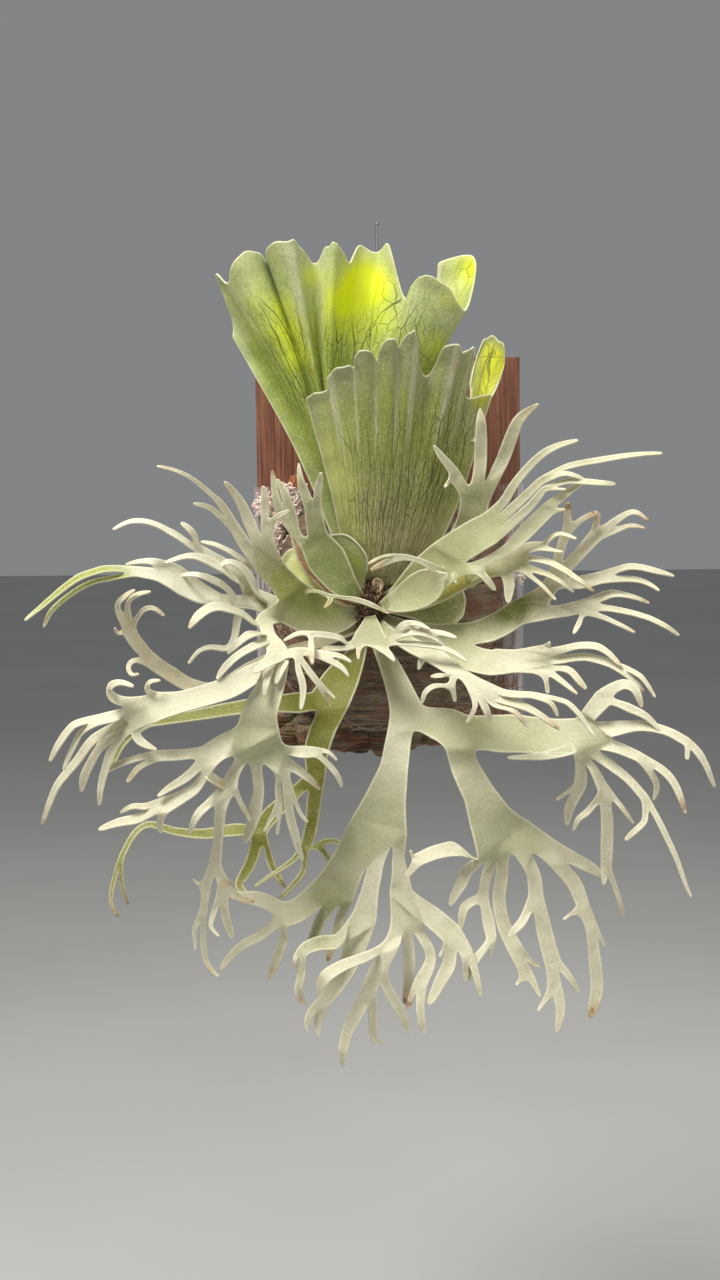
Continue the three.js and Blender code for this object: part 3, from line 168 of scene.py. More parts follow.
LEFT = [
  limb(
    [[363, 612, 117, 9], [351, 615, 123, 20], [336, 618, 128, 33], [314, 614, 132, 44], [292, 602, 139, 46]],
    LEFT_TOP,
    limb([[270, 616, 158, 20], [263, 624, 178, 17]],
      limb([[249, 618, 196, 9], [231, 609, 220, 8], [212, 607, 240, 9], [198, 616, 252, 9],
        [191, 627, 258, 4]]),
      limb([[268, 637, 205, 14], [277, 648, 228, 18], [278, 658, 236, 26]], LEFT_OUTER, LEFT_LOWER))),
  limb([[268, 640, ON, 8], [256, 645, 232, 8], [238, 655, 238, 7], [225, 667, 242, 7], [217, 677, 244, 4]]),
  limb([[264, 634, ON, 6], [252, 633, 226, 7], [240, 641, 232, 7], [231, 652, 236, 4]]),
  limb([[282, 655, ON, 8], [296, 652, 236, 9]],
    limb([[298, 668, 240, 6], [303, 686, 244, 7], [302, 708, 246, 4]]),
    limb([[306, 667, 238, 6], [318, 683, 238, 6]], limb([[333, 696, 236, 3]]), limb([[330, 705, 238, 3]])),
    limb([[309, 652, 237, 8]],
      limb([[311, 663, 239, 4]]),
      limb([[324, 656, 238, 9]],
        limb([[338, 655, 237, 5], [349, 661, 236, 3]]),
        limb([[335, 663, 239, 6], [343, 668, 240, 5], [347, 675, 240, 3]])))),
  limb([[282, 656, ON, 9], [270, 661, 246, 10], [256, 670, 250, 7]]),
  limb([[286, 660, ON, 8], [281, 669, 244, 8], [276, 680, 246, 5]]),
  limb([[272, 665, ON, 7], [267, 678, 248, 7], [264, 694, 252, 4]]),
  limb([[206, 774, ON, 8], [226, 786, ON, 8]]),
  limb([[306, 592, ON, 3], [317, 591, 140, 3], [329, 596, 143, 4]],
    limb([[331, 601, 146, 6], [326, 606, 148, 4]]),
    limb([[345, 598, 140, 4], [358, 600, 138, 5], [372, 605, 137, 5], [388, 612, 138, 2]]))]

INNER_LEFT = [limb(
  [[363, 601, 121, 9], [352, 592, 130, 20], [341, 581, 133, 31], [327, 560, 135, 40], [314, 541, 138, 30]],
  limb([[299, 539, 140, 10]],
    limb([[284, 520, 143, 8], [276, 498, 147, 8], [273, 472, 150, 4]]),
    limb([[293, 518, 143, 9], [286, 498, 147, 9], [280, 480, 150, 4]])),
  limb([[315, 521, 142, 19], [313, 507, 145, 17]],
    limb([[304, 492, 148, 10], [300, 478, 152, 6], [298, 464, 155, 3]]),
    limb([[318, 490, 150, 8], [321, 475, 155, 5]])))]

ARCH_LEFT = [
  limb(
    [[362, 617, 111, 8], [345, 618, 112, 10], [322, 616, 113, 14], [300, 612, 115, 18], [276, 607, 121, 20],
      [262, 601, 130, 20]],
    limb([[246, 602, 140, 12], [222, 600, 152, 13]],
      limb([[200, 592, 164, 20], [178, 579, 176, 25]],
        limb([[156, 575, 188, 12], [134, 571, 198, 9]],
          limb([[108, 568, 208, 7], [82, 576, 218, 7], [60, 591, 226, 6], [42, 606, 232, 5],
            [27, 619, 236, 3]]),
          limb([[117, 577, 204, 5], [92, 582, 212, 5], [71, 594, 220, 5], [52, 610, 226, 5],
            [44, 626, 230, 3]])),
        limb([[160, 563, 184, 8], [143, 561, 187, 5], [128, 564, 190, 3]]))),
    limb([[250, 588, 136, 14]],
      limb([[240, 582, 150, 6], [220, 567, 166, 7], [200, 557, 180, 7], [184, 556, 192, 5],
        [166, 562, 202, 4]]),
      limb([[238, 571, 144, 9], [218, 560, 156, 9], [198, 549, 166, 9]],
        limb([[178, 536, 174, 6], [154, 523, 180, 5], [132, 521, 184, 5], [114, 529, 186, 3]]),
        limb([[195, 535, 174, 6], [184, 524, 179, 5]])),
      limb([[249, 567, 140, 5], [234, 554, 146, 5], [216, 545, 152, 4], [203, 542, 156, 3]]))),
  limb([[242, 604, ON, 8], [237, 620, 148, 8], [235, 636, 154, 7], [228, 648, 160, 6], [210, 647, 166, 5],
    [198, 652, 172, 4], [190, 661, 176, 3]]),
  limb([[264, 604, ON, 8], [256, 589, 144, 8], [248, 574, 152, 7], [236, 564, 160, 6], [225, 562, 166, 5],
    [219, 568, 170, 3]]),
  limb([[236, 602, ON, 6], [226, 587, 156, 6], [212, 580, 166, 6], [197, 574, 176, 5], [184, 575, ON, 4]])]

CURLED_LEFT = [limb(
  [[362, 625, 109, 8], [345, 634, 113, 8], [325, 641, 117, 9], [285, 652, 122, 10], [250, 668, 134, 11],
    [215, 688, 150, 12], [188, 684, 162, 12], [166, 671, 172, 13], [148, 658, 180, 14]],
  limb([[132, 659, 186, 6], [127, 668, 190, 5], [131, 675, 192, 4], [137, 673, 194, 3]]),
  limb([[136, 643, 186, 12], [129, 630, 190, 14]],
    limb([[118, 634, 192, 4], [115, 629, 196, 3]]),
    limb([[121, 617, 196, 7], [117, 605, 200, 6], [124, 597, 204, 5], [134, 590, 208, 3]]),
    limb([[128, 614, 196, 6], [128, 602, 200, 5], [138, 594, 206, 4], [149, 592, 210, 3]]),
    limb([[137, 618, 196, 5], [142, 610, 200, 5], [153, 607, 204, 4], [163, 614, 206, 3]])))]

LOW_LEFT = [limb(
  [[367, 630, 108, 8], [361, 645, 114, 12], [352, 661, 124, 24], [340, 680, 140, 36], [330, 700, 150, 40]],
  limb([[324, 726, 156, 26], [317, 748, 162, 25], [316, 774, 166, 20]],
    limb([[314, 802, 168, 15], [311, 828, 170, 13], [306, 846, 172, 12]],
      limb([[318, 844, 178, 7]],
        limb([[334, 840, 184, 5], [347, 850, 190, 4], [356, 868, 192, 3]]),
        limb([[328, 856, 180, 6], [330, 869, 182, 6], [329, 880, 184, 4]])),
      limb([[305, 868, 176, 6], [296, 882, 180, 6], [281, 898, 184, 3]]),
      limb([[296, 858, 176, 6], [276, 872, 182, 4], [256, 885, 188, 3]])),
    limb([[292, 796, 168, 13], [272, 814, 170, 17], [260, 830, 172, 16]],
      limb([[270, 862, 174, 8], [279, 878, 176, 6], [285, 887, 178, 3]]),
      limb([[255, 850, 172, 12], [247, 870, 172, 11], [238, 885, 174, 9], [247, 893, 178, 5]]),
      limb([[236, 830, 172, 11], [204, 834, 176, 9], [172, 831, 180, 7], [149, 824, 184, 6],
        [133, 835, 188, 6], [121, 858, 190, 6]],
        limb([[121, 880, 190, 5], [127, 902, 190, 3]]),
        limb([[113, 884, 192, 5], [111, 903, 192, 4], [118, 915, 194, 3]])))),
  limb([[300, 702, 158, 20], [268, 704, 164, 16], [232, 709, 170, 13], [190, 716, 178, 10],
    [150, 722, 184, 9]],
    limb([[134, 732, 188, 7], [120, 748, 192, 6], [112, 770, 194, 4]]),
    limb([[130, 724, 190, 5], [112, 730, 194, 5], [96, 744, 196, 3]])))]

CENTRE = [limb(
  [[374, 630, 108, 8], [378, 644, 124, 12], [388, 662, 150, 19], [399, 688, 176, 26], [407, 711, 192, 34]],
  limb([[440, 722, 204, 34], [458, 732, 208, 40]],
    limb([[500, 733, 214, 36], [545, 736, 220, 34], [576, 736, 224, 34]],
      limb([[588, 716, 226, 14], [604, 697, 228, 18]],
        limb([[620, 684, 230, 10], [634, 688, 232, 9], [641, 705, 234, 5]]),
        limb([[624, 706, 232, 8], [643, 715, 234, 7], [660, 728, 236, 4]])),
      limb([[606, 730, 228, 15], [638, 726, 232, 9], [666, 731, 236, 8], [688, 742, 240, 9]],
        limb([[698, 752, 242, 8], [707, 767, 242, 6], [713, 785, 242, 4]]),
        limb([[688, 756, 244, 6]])),
      limb([[612, 746, 230, 12], [640, 757, 234, 9]],
        limb([[664, 771, 236, 8], [678, 790, 240, 7], [684, 812, 242, 4]]),
        limb([[657, 780, 234, 7], [656, 797, 232, 4]])),
      limb([[606, 762, 228, 10], [628, 779, 232, 8], [646, 799, 236, 9]],
        limb([[662, 828, 240, 6], [678, 862, 242, 5], [689, 896, 242, 3]]),
        limb([[646, 820, 240, 6], [626, 838, 244, 4]])),
      limb([[593, 768, 226, 8], [604, 790, 226, 12]],
        limb([[622, 808, 228, 5], [632, 822, 230, 3]]),
        limb([[607, 818, 224, 12], [607, 845, 224, 12], [606, 868, 222, 10]],
          limb([[618, 896, 218, 5], [623, 914, 216, 4]]),
          limb([[604, 882, 222, 6]])),
        limb([[589, 811, 226, 6], [578, 819, 228, 5], [573, 829, 228, 3]])),
      limb([[581, 768, 224, 11], [580, 786, 222, 14]],
        limb([[570, 804, 220, 10], [567, 821, 218, 6]]),
        limb([[558, 798, 222, 4]]))),
    limb([[464, 764, 212, 28], [479, 794, 214, 32], [492, 822, 214, 46], [504, 842, 212, 66]],
      limb([[556, 856, 210, 24]],
        limb([[585, 864, 208, 12], [602, 876, 206, 5]]),
        limb([[573, 880, 210, 15], [583, 905, 212, 13]],
          limb([[593, 930, 212, 12]],
            limb([[604, 944, 212, 4]]),
            limb([[595, 962, 212, 12], [597, 988, 212, 12], [592, 1012, 212, 9]])),
          limb([[564, 918, 214, 3]]))),
      limb([[531, 868, 210, 14], [536, 896, 210, 15]],
        limb([[544, 930, 212, 16], [553, 963, 214, 17]],
          limb([[568, 975, 214, 7], [578, 990, 214, 4]]),
          limb([[556, 988, 216, 13]],
            limb([[561, 1006, 218, 10], [558, 1028, 220, 5]]),
            limb([[538, 1009, 218, 4]]))),
        limb([[524, 920, 216, 8], [510, 934, 222, 6]])),
      limb([[502, 872, 206, 13], [499, 898, 206, 13], [504, 926, 208, 14], [518, 954, 212, 16]],
        limb([[530, 962, 212, 5], [538, 966, 214, 3]]),
        limb([[527, 974, 214, 12]],
          limb([[539, 994, 216, 5]]),
          limb([[518, 984, 216, 4]]))),
      limb([[487, 874, 204, 10], [483, 896, 204, 10]],
        limb([[488, 920, 208, 12], [492, 940, 212, 10]],
          limb([[476, 958, 220, 8], [470, 978, 224, 5]]),
          limb([[490, 957, 216, 3]])),
        limb([[466, 904, 208, 10], [460, 924, 212, 6]])),
      limb([[469, 868, 207, 11], [461, 884, 208, 11], [450, 903, 210, 6]]),
      limb([[457, 848, 212, 14], [432, 854, 216, 12], [416, 861, 220, 11]],
        limb([[409, 873, 222, 7]]),
        limb([[411, 852, 222, 4]])))),
  limb([[399, 738, 202, 25], [394, 768, 208, 28], [386, 798, 212, 40], [379, 826, 214, 58]],
    limb([[398, 862, 216, 13], [401, 892, 218, 24]],
      limb([[430, 915, 220, 20], [452, 934, 222, 22]],
        limb([[468, 954, 224, 14]],
          limb([[476, 975, 226, 7], [480, 995, 228, 4]]),
          limb([[466, 978, 228, 6]])),
        limb([[450, 962, 226, 14], [440, 982, 228, 11], [431, 1001, 230, 7]]),
        limb([[438, 955, 228, 4]])),
      limb([[404, 918, 220, 24]],
        limb([[424, 940, 220, 10], [431, 960, 222, 10], [420, 984, 226, 14]],
          limb([[420, 1006, 230, 9], [423, 1030, 232, 6]]),
          limb([[408, 1004, 228, 6]])),
        limb([[409, 950, 218, 11], [409, 976, 218, 11], [405, 1000, 214, 5]]),
        limb([[394, 946, 228, 15]],
          limb([[378, 966, 234, 15]],
            limb([[388, 990, 232, 10], [402, 1014, 228, 9], [410, 1032, 226, 4]]),
            limb([[369, 990, 235, 16]],
              limb([[373, 1016, 232, 9], [374, 1040, 230, 7], [383, 1043, 229, 3]]),
              limb([[359, 1010, 236, 13], [348, 1030, 237, 11], [343, 1052, 238, 9], [344, 1066, 238, 3]]))),
          limb([[366, 957, 240, 9], [342, 966, 244, 10], [324, 978, 247, 11], [319, 992, 247, 4]])))),
    limb([[376, 862, 217, 15], [370, 890, 219, 17], [364, 918, 221, 26]],
      limb([[355, 948, 222, 22], [342, 976, 221, 18], [325, 1000, 220, 13]],
        limb([[318, 1018, 220, 9], [319, 1033, 221, 4]]),
        limb([[308, 1014, 222, 8], [308, 1028, 223, 3]])),
      limb([[342, 940, 226, 14], [318, 943, 231, 13], [302, 950, 234, 11]],
        limb([[302, 972, 234, 8], [298, 994, 233, 8], [305, 1003, 233, 4]]),
        limb([[292, 962, 238, 5], [299, 969, 240, 3]]))),
    limb([[350, 862, 212, 34], [336, 888, 208, 40]],
      limb([[341, 915, 204, 10], [334, 938, 204, 9], [328, 960, 206, 4]]),
      limb([[322, 916, 204, 11], [314, 938, 202, 10], [306, 956, 202, 4]]),
      limb([[300, 910, 206, 22], [284, 915, 204, 22]],
        limb([[284, 938, 204, 9], [277, 958, 204, 9], [270, 976, 204, 6]]),
        limb([[263, 934, 206, 9], [240, 947, 210, 8], [220, 968, 212, 5]]),
        limb([[262, 900, 206, 14], [240, 897, 208, 9], [224, 891, 208, 4]]))))),
  limb([[574, 749, ON, 8], [552, 755, 230, 7], [530, 757, 234, 5], [509, 758, 237, 3]])]

FRONT = [limb(
  [[371, 613, 119, 6], [370, 622, 142, 16], [369, 632, 168, 28], [369, 641, 200, 36]],
  limb([[350, 646, 214, 8]],
    limb([[343, 638, 218, 5], [328, 635, 224, 6], [312, 634, 228, 6]],
      limb([[311, 646, 244, 7], [312, 661, 252, 4]]),
      limb([[298, 633, 230, 5], [285, 640, 232, 3]])),
    limb([[339, 648, 220, 5], [326, 648, 226, 6], [318, 652, 229, 4]])),
  limb([[358, 650, 212, 5], [359, 657, 216, 3]]),
  limb([[383, 648, 216, 9], [393, 660, 226, 4]]),
  limb([[388, 641, 212, 12]],
    limb([[398, 630, 220, 7], [404, 624, 224, 7]],
      limb([[416, 623, 228, 5], [429, 629, 232, 3]]),
      limb([[418, 628, 223, 3]])),
    limb([[402, 634, 222, 6], [420, 632, 228, 6]],
      limb([[438, 632, 232, 5], [458, 637, 236, 3]]),
      limb([[434, 637, 232, 4], [443, 645, 234, 3]])),
    limb([[402, 643, 220, 5], [420, 644, 226, 5], [441, 647, 232, 5], [456, 654, 236, 4],
      [465, 661, 238, 3]])))]

TALL_RIGHT = [limb(
  [[380, 601, 113, 8], [391, 595, 119, 11], [403, 587, 126, 14], [427, 570, 131, 18], [452, 549, 136, 22],
    [470, 524, 141, 28], [475, 499, 145, 29]],
  limb([[456, 475, 148, 13]],
    limb([[444, 460, 154, 8], [434, 447, 158, 4]]),
    limb([[446, 485, 154, 4]])),
  limb([[480, 469, 149, 12], [481, 440, 154, 12], [481, 420, 158, 9], [481, 409, 160, 3]]),
  limb([[498, 469, 149, 13], [505, 454, 153, 13], [512, 435, 158, 12], [520, 418, 163, 10],
    [538, 404, 168, 3]]))]

FOLD_RIGHT = [
  limb(
    [[379, 607, 124, 7], [389, 603, 134, 15], [404, 594, 141, 29], [424, 579, 148, 42], [446, 560, 155, 42]],
    limb([[468, 541, 160, 34], [491, 528, 167, 32]],
      limb([[504, 502, 172, 9], [519, 478, 178, 8], [545, 452, 184, 7], [574, 440, 190, 4]]),
      limb([[516, 505, 173, 9], [542, 480, 180, 8]],
        limb([[565, 467, 186, 6], [600, 460, 194, 6], [632, 455, 202, 5], [662, 453, 208, 3]]),
        limb([[562, 473, 188, 5], [582, 477, 192, 4]])),
      limb([[522, 514, 173, 9], [545, 488, 180, 6]],
        limb([[566, 481, 186, 6], [590, 482, 192, 6], [615, 484, 198, 4]]),
        limb([[562, 489, 186, 3]]))),
    limb([[478, 567, 160, 12]],
      limb([[505, 552, 166, 11], [526, 531, 171, 16], [548, 509, 176, 15]],
        limb([[566, 493, 182, 8], [582, 483, 186, 3]]),
        limb([[562, 509, 182, 4]])),
      limb([[485, 577, 162, 7], [492, 587, 163, 6]]))),
  limb([[455, 573, ON, 7], [456, 582, 155, 3]]),
  limb([[443, 573, ON, 11], [432, 567, 162, 8], [418, 560, 166, 5], [404, 557, 170, 6]],
    limb([[388, 561, 173, 6], [374, 569, 175, 5]]),
    limb([[386, 555, 175, 3], [370, 562, 179, 3]])),
  limb([[383, 606, 128, 8], [393, 603, 137, 19], [405, 598, 145, 29], [418, 591, 151, 36],
    [430, 584, 156, 34], [438, 579, 159, 24], [442, 577, 160, 12]])]

MIDDLE_RIGHT = [limb(
  [[379, 608, 117, 8], [398, 607, 126, 11], [420, 601, 131, 16], [443, 588, 136, 24], [466, 577, 141, 22]],
  limb([[486, 572, 147, 14], [501, 567, 152, 16]],
    limb([[524, 550, 160, 11], [542, 546, 166, 8]],
      limb([[550, 538, 170, 4], [560, 533, 174, 4], [575, 538, 178, 3]]),
      limb([[562, 552, 172, 3]])),
    limb([[526, 559, 160, 6], [552, 563, 170, 6], [574, 576, 178, 5], [592, 590, 184, 3]]),
    limb([[522, 568, 160, 7]],
      limb([[548, 574, 168, 5], [573, 589, 176, 3]]),
      limb([[540, 583, 166, 4], [555, 598, 172, 3]])),
    limb([[509, 580, 158, 12], [508, 598, 160, 7]]))),
  limb([[480, 578, ON, 5], [470, 587, 149, 3]])]

RIGHT = [limb(
  [[380, 616, 111, 7], [392, 624, 120, 16], [410, 633, 132, 28], [432, 641, 142, 40], [455, 645, 148, 46]],
  limb([[482, 632, 142, 25], [500, 624, 143, 25], [516, 613, 145, 24]],
    limb([[541, 597, 149, 17], [552, 583, 153, 15]],
      limb([[557, 562, 157, 9], [563, 541, 160, 8], [568, 529, 163, 9]],
        limb([[567, 505, 166, 8]]),
        limb([[582, 519, 166, 5], [597, 512, 170, 5]])),
      limb([[567, 567, 157, 11], [581, 552, 160, 11], [597, 534, 163, 13]],
        limb([[599, 515, 166, 7]]),
        limb([[612, 523, 166, 7], [632, 512, 170, 5], [648, 520, 174, 3]]),
        limb([[614, 531, 166, 6], [630, 525, 170, 4], [643, 528, 172, 3]])),
      limb([[577, 583, 156, 12], [604, 577, 162, 11]],
        limb([[626, 567, 168, 6], [650, 569, 174, 6], [672, 575, 178, 3]]),
        limb([[628, 579, 168, 6], [645, 581, 172, 5], [660, 590, 176, 3]]))),
    limb([[550, 613, 150, 12], [580, 607, 155, 12]],
      limb([[606, 595, 160, 8], [626, 595, 166, 5], [649, 602, 170, 3]]),
      limb([[610, 609, 162, 6], [640, 615, 170, 5], [660, 623, 176, 5], [679, 634, 180, 3]]),
      limb([[606, 619, 164, 5], [634, 632, 170, 3]]),
      limb([[580, 622, 164, 6], [575, 631, 168, 4]]))),
  limb([[482, 661, 162, 28], [514, 661, 170, 22]],
    limb([[545, 652, 178, 12]],
      limb([[551, 643, 182, 4]]),
      limb([[574, 646, 186, 7], [600, 648, 192, 7], [620, 664, 198, 4]])),
    limb([[550, 660, 178, 8], [584, 657, 186, 8], [614, 665, 194, 8]],
      limb([[632, 679, 200, 5], [644, 690, 204, 4]]),
      limb([[638, 674, 202, 5], [655, 696, 206, 3]])),
    limb([[546, 669, 178, 8]],
      limb([[568, 668, 184, 7], [582, 687, 190, 6]]),
      limb([[558, 678, 184, 6], [576, 692, 190, 3]]),
      limb([[547, 689, 184, 6]]))))]

FRONT_RIGHT = [limb(
  [[378, 620, 119, 8], [389, 632, 146, 10], [408, 643, 178, 14], [434, 656, 214, 18], [456, 671, 236, 14]],
  limb([[471, 681, 243, 12]],
    limb([[500, 692, 252, 7], [532, 695, 258, 6]],
      limb([[550, 701, 262, 5], [558, 714, 264, 4]]),
      limb([[562, 700, 260, 5], [578, 713, 264, 5], [593, 734, 266, 3]])),
    limb([[496, 698, 252, 7], [528, 708, 258, 7], [558, 728, 262, 4]]),
    limb([[492, 704, 252, 5], [513, 710, 258, 5], [526, 725, 260, 4]]),
    limb([[484, 704, 250, 8], [490, 721, 252, 5]]),
    limb([[476, 704, 250, 5], [468, 721, 252, 3]])),
  limb([[452, 686, 240, 6]],
    limb([[454, 699, 242, 5]]),
    limb([[436, 685, 246, 5], [424, 693, 249, 5], [422, 701, 250, 4]])),
  limb([[440, 675, 234, 6], [431, 675, 238, 4]])),
  limb([[424, 654, ON, 8], [418, 667, 204, 4]])]

# A shield is a fan of ribs from left to right, each a traced base, middle and rim place.
BACK_SHIELD = [
  [[352, 588, 104], [298, 456, 92], [233, 338, 84]],
  [[353, 587, 104], [300, 442, 92], [232, 318, 84]],
  [[354, 586, 104], [303, 430, 94], [216, 274, 90]],
  [[355, 585, 104], [306, 422, 98], [228, 283, 98]],
  [[356, 585, 104], [309, 415, 102], [236, 258, 106]],
  [[357, 585, 104], [312, 410, 99], [256, 251, 100]],
  [[358, 585, 104], [316, 408, 96], [267, 262, 86]],
  [[359, 585, 104], [318, 406, 101], [268, 247, 108]],
  [[360, 585, 104], [321, 404, 104], [290, 240, 112]],
  [[361, 585, 104], [323, 402, 103], [300, 247, 102]],
  [[362, 585, 104], [325, 400, 99], [315, 264, 92]],
  [[363, 585, 104], [328, 398, 104], [328, 246, 102]],
  [[364, 585, 104], [332, 397, 104], [337, 243, 104]],
  [[365, 585, 104], [338, 396, 98], [349, 263, 90]],
  [[367, 585, 104], [346, 395, 92], [359, 246, 80]],
  [[369, 585, 104], [356, 395, 90], [377, 253, 76]],
  [[371, 585, 104], [366, 395, 92], [389, 246, 80]],
  [[373, 585, 104], [376, 396, 98], [404, 297, 92]],
  [[375, 585, 104], [386, 398, 106], [413, 284, 108]],
  [[377, 585, 104], [396, 400, 110], [425, 275, 112]],
  [[379, 585, 104], [406, 402, 110], [446, 285, 110]],
  [[381, 586, 104], [414, 405, 104], [464, 311, 98]],
  [[383, 587, 104], [420, 408, 96], [474, 284, 84]],
  [[385, 588, 104], [424, 412, 88], [473, 256, 72]],
  [[387, 589, 104], [426, 418, 80], [438, 262, 66]]]

FRONT_SHIELD = [
  [[350, 590, 116], [333, 500, 130], [306, 399, 140]],
  [[352, 590, 116], [338, 496, 134], [316, 392, 146]],
  [[354, 589, 116], [344, 490, 137], [327, 390, 150]],
  [[356, 589, 116], [348, 486, 139], [328, 376, 153]],
  [[358, 588, 116], [354, 482, 141], [343, 366, 157]],
  [[361, 588, 116], [359, 480, 142], [354, 366, 156]],
  [[364, 587, 116], [364, 478, 143], [356, 354, 160]],
  [[367, 587, 116], [369, 476, 143], [368, 350, 162]],
  [[370, 586, 116], [375, 475, 143], [377, 359, 156]],
  [[373, 586, 116], [381, 474, 144], [383, 343, 162]],
  [[376, 586, 116], [387, 473, 144], [394, 338, 164]],
  [[379, 586, 116], [392, 472, 143], [398, 346, 158]],
  [[382, 586, 116], [398, 471, 143], [409, 332, 164]],
  [[385, 586, 116], [404, 471, 142], [417, 337, 162]],
  [[388, 586, 116], [410, 472, 140], [420, 369, 150]],
  [[391, 586, 116], [416, 473, 139], [430, 374, 148]],
  [[394, 587, 116], [422, 474, 139], [444, 348, 156]],
  [[397, 587, 116], [428, 476, 138], [459, 344, 156]],
  [[400, 588, 116], [434, 478, 136], [462, 352, 150]],
  [[403, 589, 116], [440, 480, 134], [471, 348, 148]],
  [[406, 590, 116], [444, 482, 133], [475, 348, 146]],
  [[409, 591, 116], [448, 485, 132], [472, 366, 144]],
  [[412, 592, 116], [452, 489, 131], [466, 396, 141]],
  [[414, 593, 116], [456, 494, 130], [480, 396, 138]],
  [[416, 594, 116], [459, 502, 129], [492, 394, 133]]]

FRONT_EAR = [
  [[468, 442, 135], [470, 410, 130], [470, 385, 124]],
  [[469, 442, 135], [473, 402, 127], [475, 362, 118]],
  [[470, 442, 135], [476, 398, 125], [482, 343, 114]],
  [[471, 442, 135], [480, 396, 123], [491, 336, 112]],
  [[472, 442, 135], [484, 397, 123], [503, 345, 112]],
  [[473, 442, 135], [486, 400, 124], [504, 366, 114]],
  [[474, 442, 135], [487, 405, 127], [496, 388, 120]],
  [[475, 442, 135], [484, 420, 131], [488, 402, 128]]]

YOUNG_SHIELD = [
  [[352, 600, 121], [340, 568, 124], [330, 535, 128]],
  [[355, 599, 121], [346, 564, 126], [345, 534, 130]],
  [[358, 598, 121], [354, 566, 127], [360, 545, 130]],
  [[361, 597, 121], [361, 572, 126], [368, 560, 128]],
  [[364, 597, 121], [365, 580, 124], [366, 574, 125]]]

LOW_SHIELD_LEFT = [
  [[360, 603, 106], [325, 588, 107], [303, 546, 104]],
  [[359, 605, 106], [318, 592, 107], [288, 550, 103]],
  [[358, 608, 106], [314, 597, 107], [279, 567, 102]],
  [[357, 611, 106], [314, 603, 107], [279, 590, 102]],
  [[357, 614, 106], [318, 611, 107], [290, 610, 103]]]

LOW_SHIELD_RIGHT = [
  [[382, 596, 103], [420, 588, 105], [455, 580, 104]],
  [[383, 600, 103], [424, 594, 105], [463, 590, 103]],
  [[384, 604, 103], [428, 602, 105], [466, 604, 102]],
  [[383, 608, 103], [424, 612, 105], [460, 620, 103]],
  [[382, 612, 103], [416, 620, 105], [440, 634, 104]]]

OLD_STUB = [limb(
  [[363, 608, 112, 7], [342, 600, 112, 8], [322, 584, 112, 8], [306, 566, 112, 9], [298, 546, 112, 9],
    [293, 530, 112, 8], [291, 520, 112, 4]])]




# Where moss tufts and bits of bark show at the mound's upper corners, as traced places
TUFTS = ([296, 492, 25], [293, 506, 26], [299, 520, 27], [301, 538, 28], [284, 518, 26], [277, 534, 26],
         [276, 550, 27], [278, 566, 28], [266, 506, 25], [506, 556, 25], [511, 572, 26])
BARK = ([294, 483, 30, 4], [299, 478, 28, 3], [299, 548, 38, 3.5], [292, 532, 34, 2.5], [278, 560, 36, 2.5],
        [509, 544, 28, 4], [513, 560, 30, 3], [472, 586, 62, 3])

# Where the mound's foot swells past the board's lower edge, as traced places with half widths
CLODS = ([274, 700, 22, 10], [284, 716, 26, 12], [295, 731, 29, 12], [316, 732, 36, 13], [338, 733, 42, 13],
         [361, 734, 46, 13.5], [385, 735, 48, 14], [409, 731, 46, 13], [432, 727, 42, 13], [454, 720, 38, 12])

# Where the young frond opens, and between which places fine roots hang out of the mound
DISC_PLACE = [378, 585, 121]
ROOTS_ACROSS, ROOTS_DOWN, ROOTS_OUT = (492, 506), (664, 692), 42

# Spots [across, down, radius, share] for each mark of a shield: painted light shining through it from behind,
# painted light falling on it, and its net of veins
BACK_SPOTS = {
    "painted_backlight": ((362, 276, 20, 1.0), (356, 296, 18, 0.8), (380, 288, 16, 0.8), (340, 300, 14, 0.6),
             (348, 324, 22, 0.6), (384, 318, 14, 0.4), (288, 330, 14, 0.8), (296, 356, 14, 0.6),
             (280, 306, 12, 0.6), (312, 276, 10, 0.5), (450, 300, 12, 0.3), (438, 346, 14, 0.4),
             (466, 272, 18, 0.7), (478, 262, 14, 0.7)),
    "light": ((244, 300, 24, 0.9), (240, 270, 16, 0.6), (258, 330, 16, 0.4)),
    "net": ((290, 340, 26, 1.0), (278, 300, 18, 0.5), (300, 390, 26, 0.9), (255, 320, 18, 0.25),
            (340, 345, 24, 1.0), (370, 332, 16, 0.7), (396, 300, 18, 1.0), (404, 270, 10, 0.8),
            (400, 330, 16, 0.9), (430, 330, 22, 0.5), (466, 272, 22, 0.9), (420, 370, 20, 0.7)),
}
FRONT_SPOTS = {
    "painted_backlight": ((492, 352, 11, 1.0), (490, 370, 13, 1.0), (486, 388, 12, 0.9), (500, 365, 10, 0.8),
             (480, 402, 8, 0.7)),
    "light": ((326, 440, 24, 0.8), (336, 480, 22, 0.9), (346, 520, 20, 0.8), (356, 552, 18, 0.6),
              (322, 400, 14, 0.4), (480, 425, 16, 0.5)),
    "net": ((490, 360, 20, 1.0), (482, 392, 16, 0.9), (360, 520, 34, 0.9), (400, 500, 34, 0.9),
            (440, 480, 34, 0.9), (400, 560, 34, 0.9), (450, 420, 30, 0.7), (350, 450, 30, 0.5),
            (400, 430, 30, 0.5), (470, 440, 24, 0.7)),
}

# Ribs of the tall shields that stand up pale, numbered from 0
BACK_RAISED = (8, 10.5, 13.5)
FRONT_RAISED = (3, 5.2, 8, 11, 13, 17, 19.4)

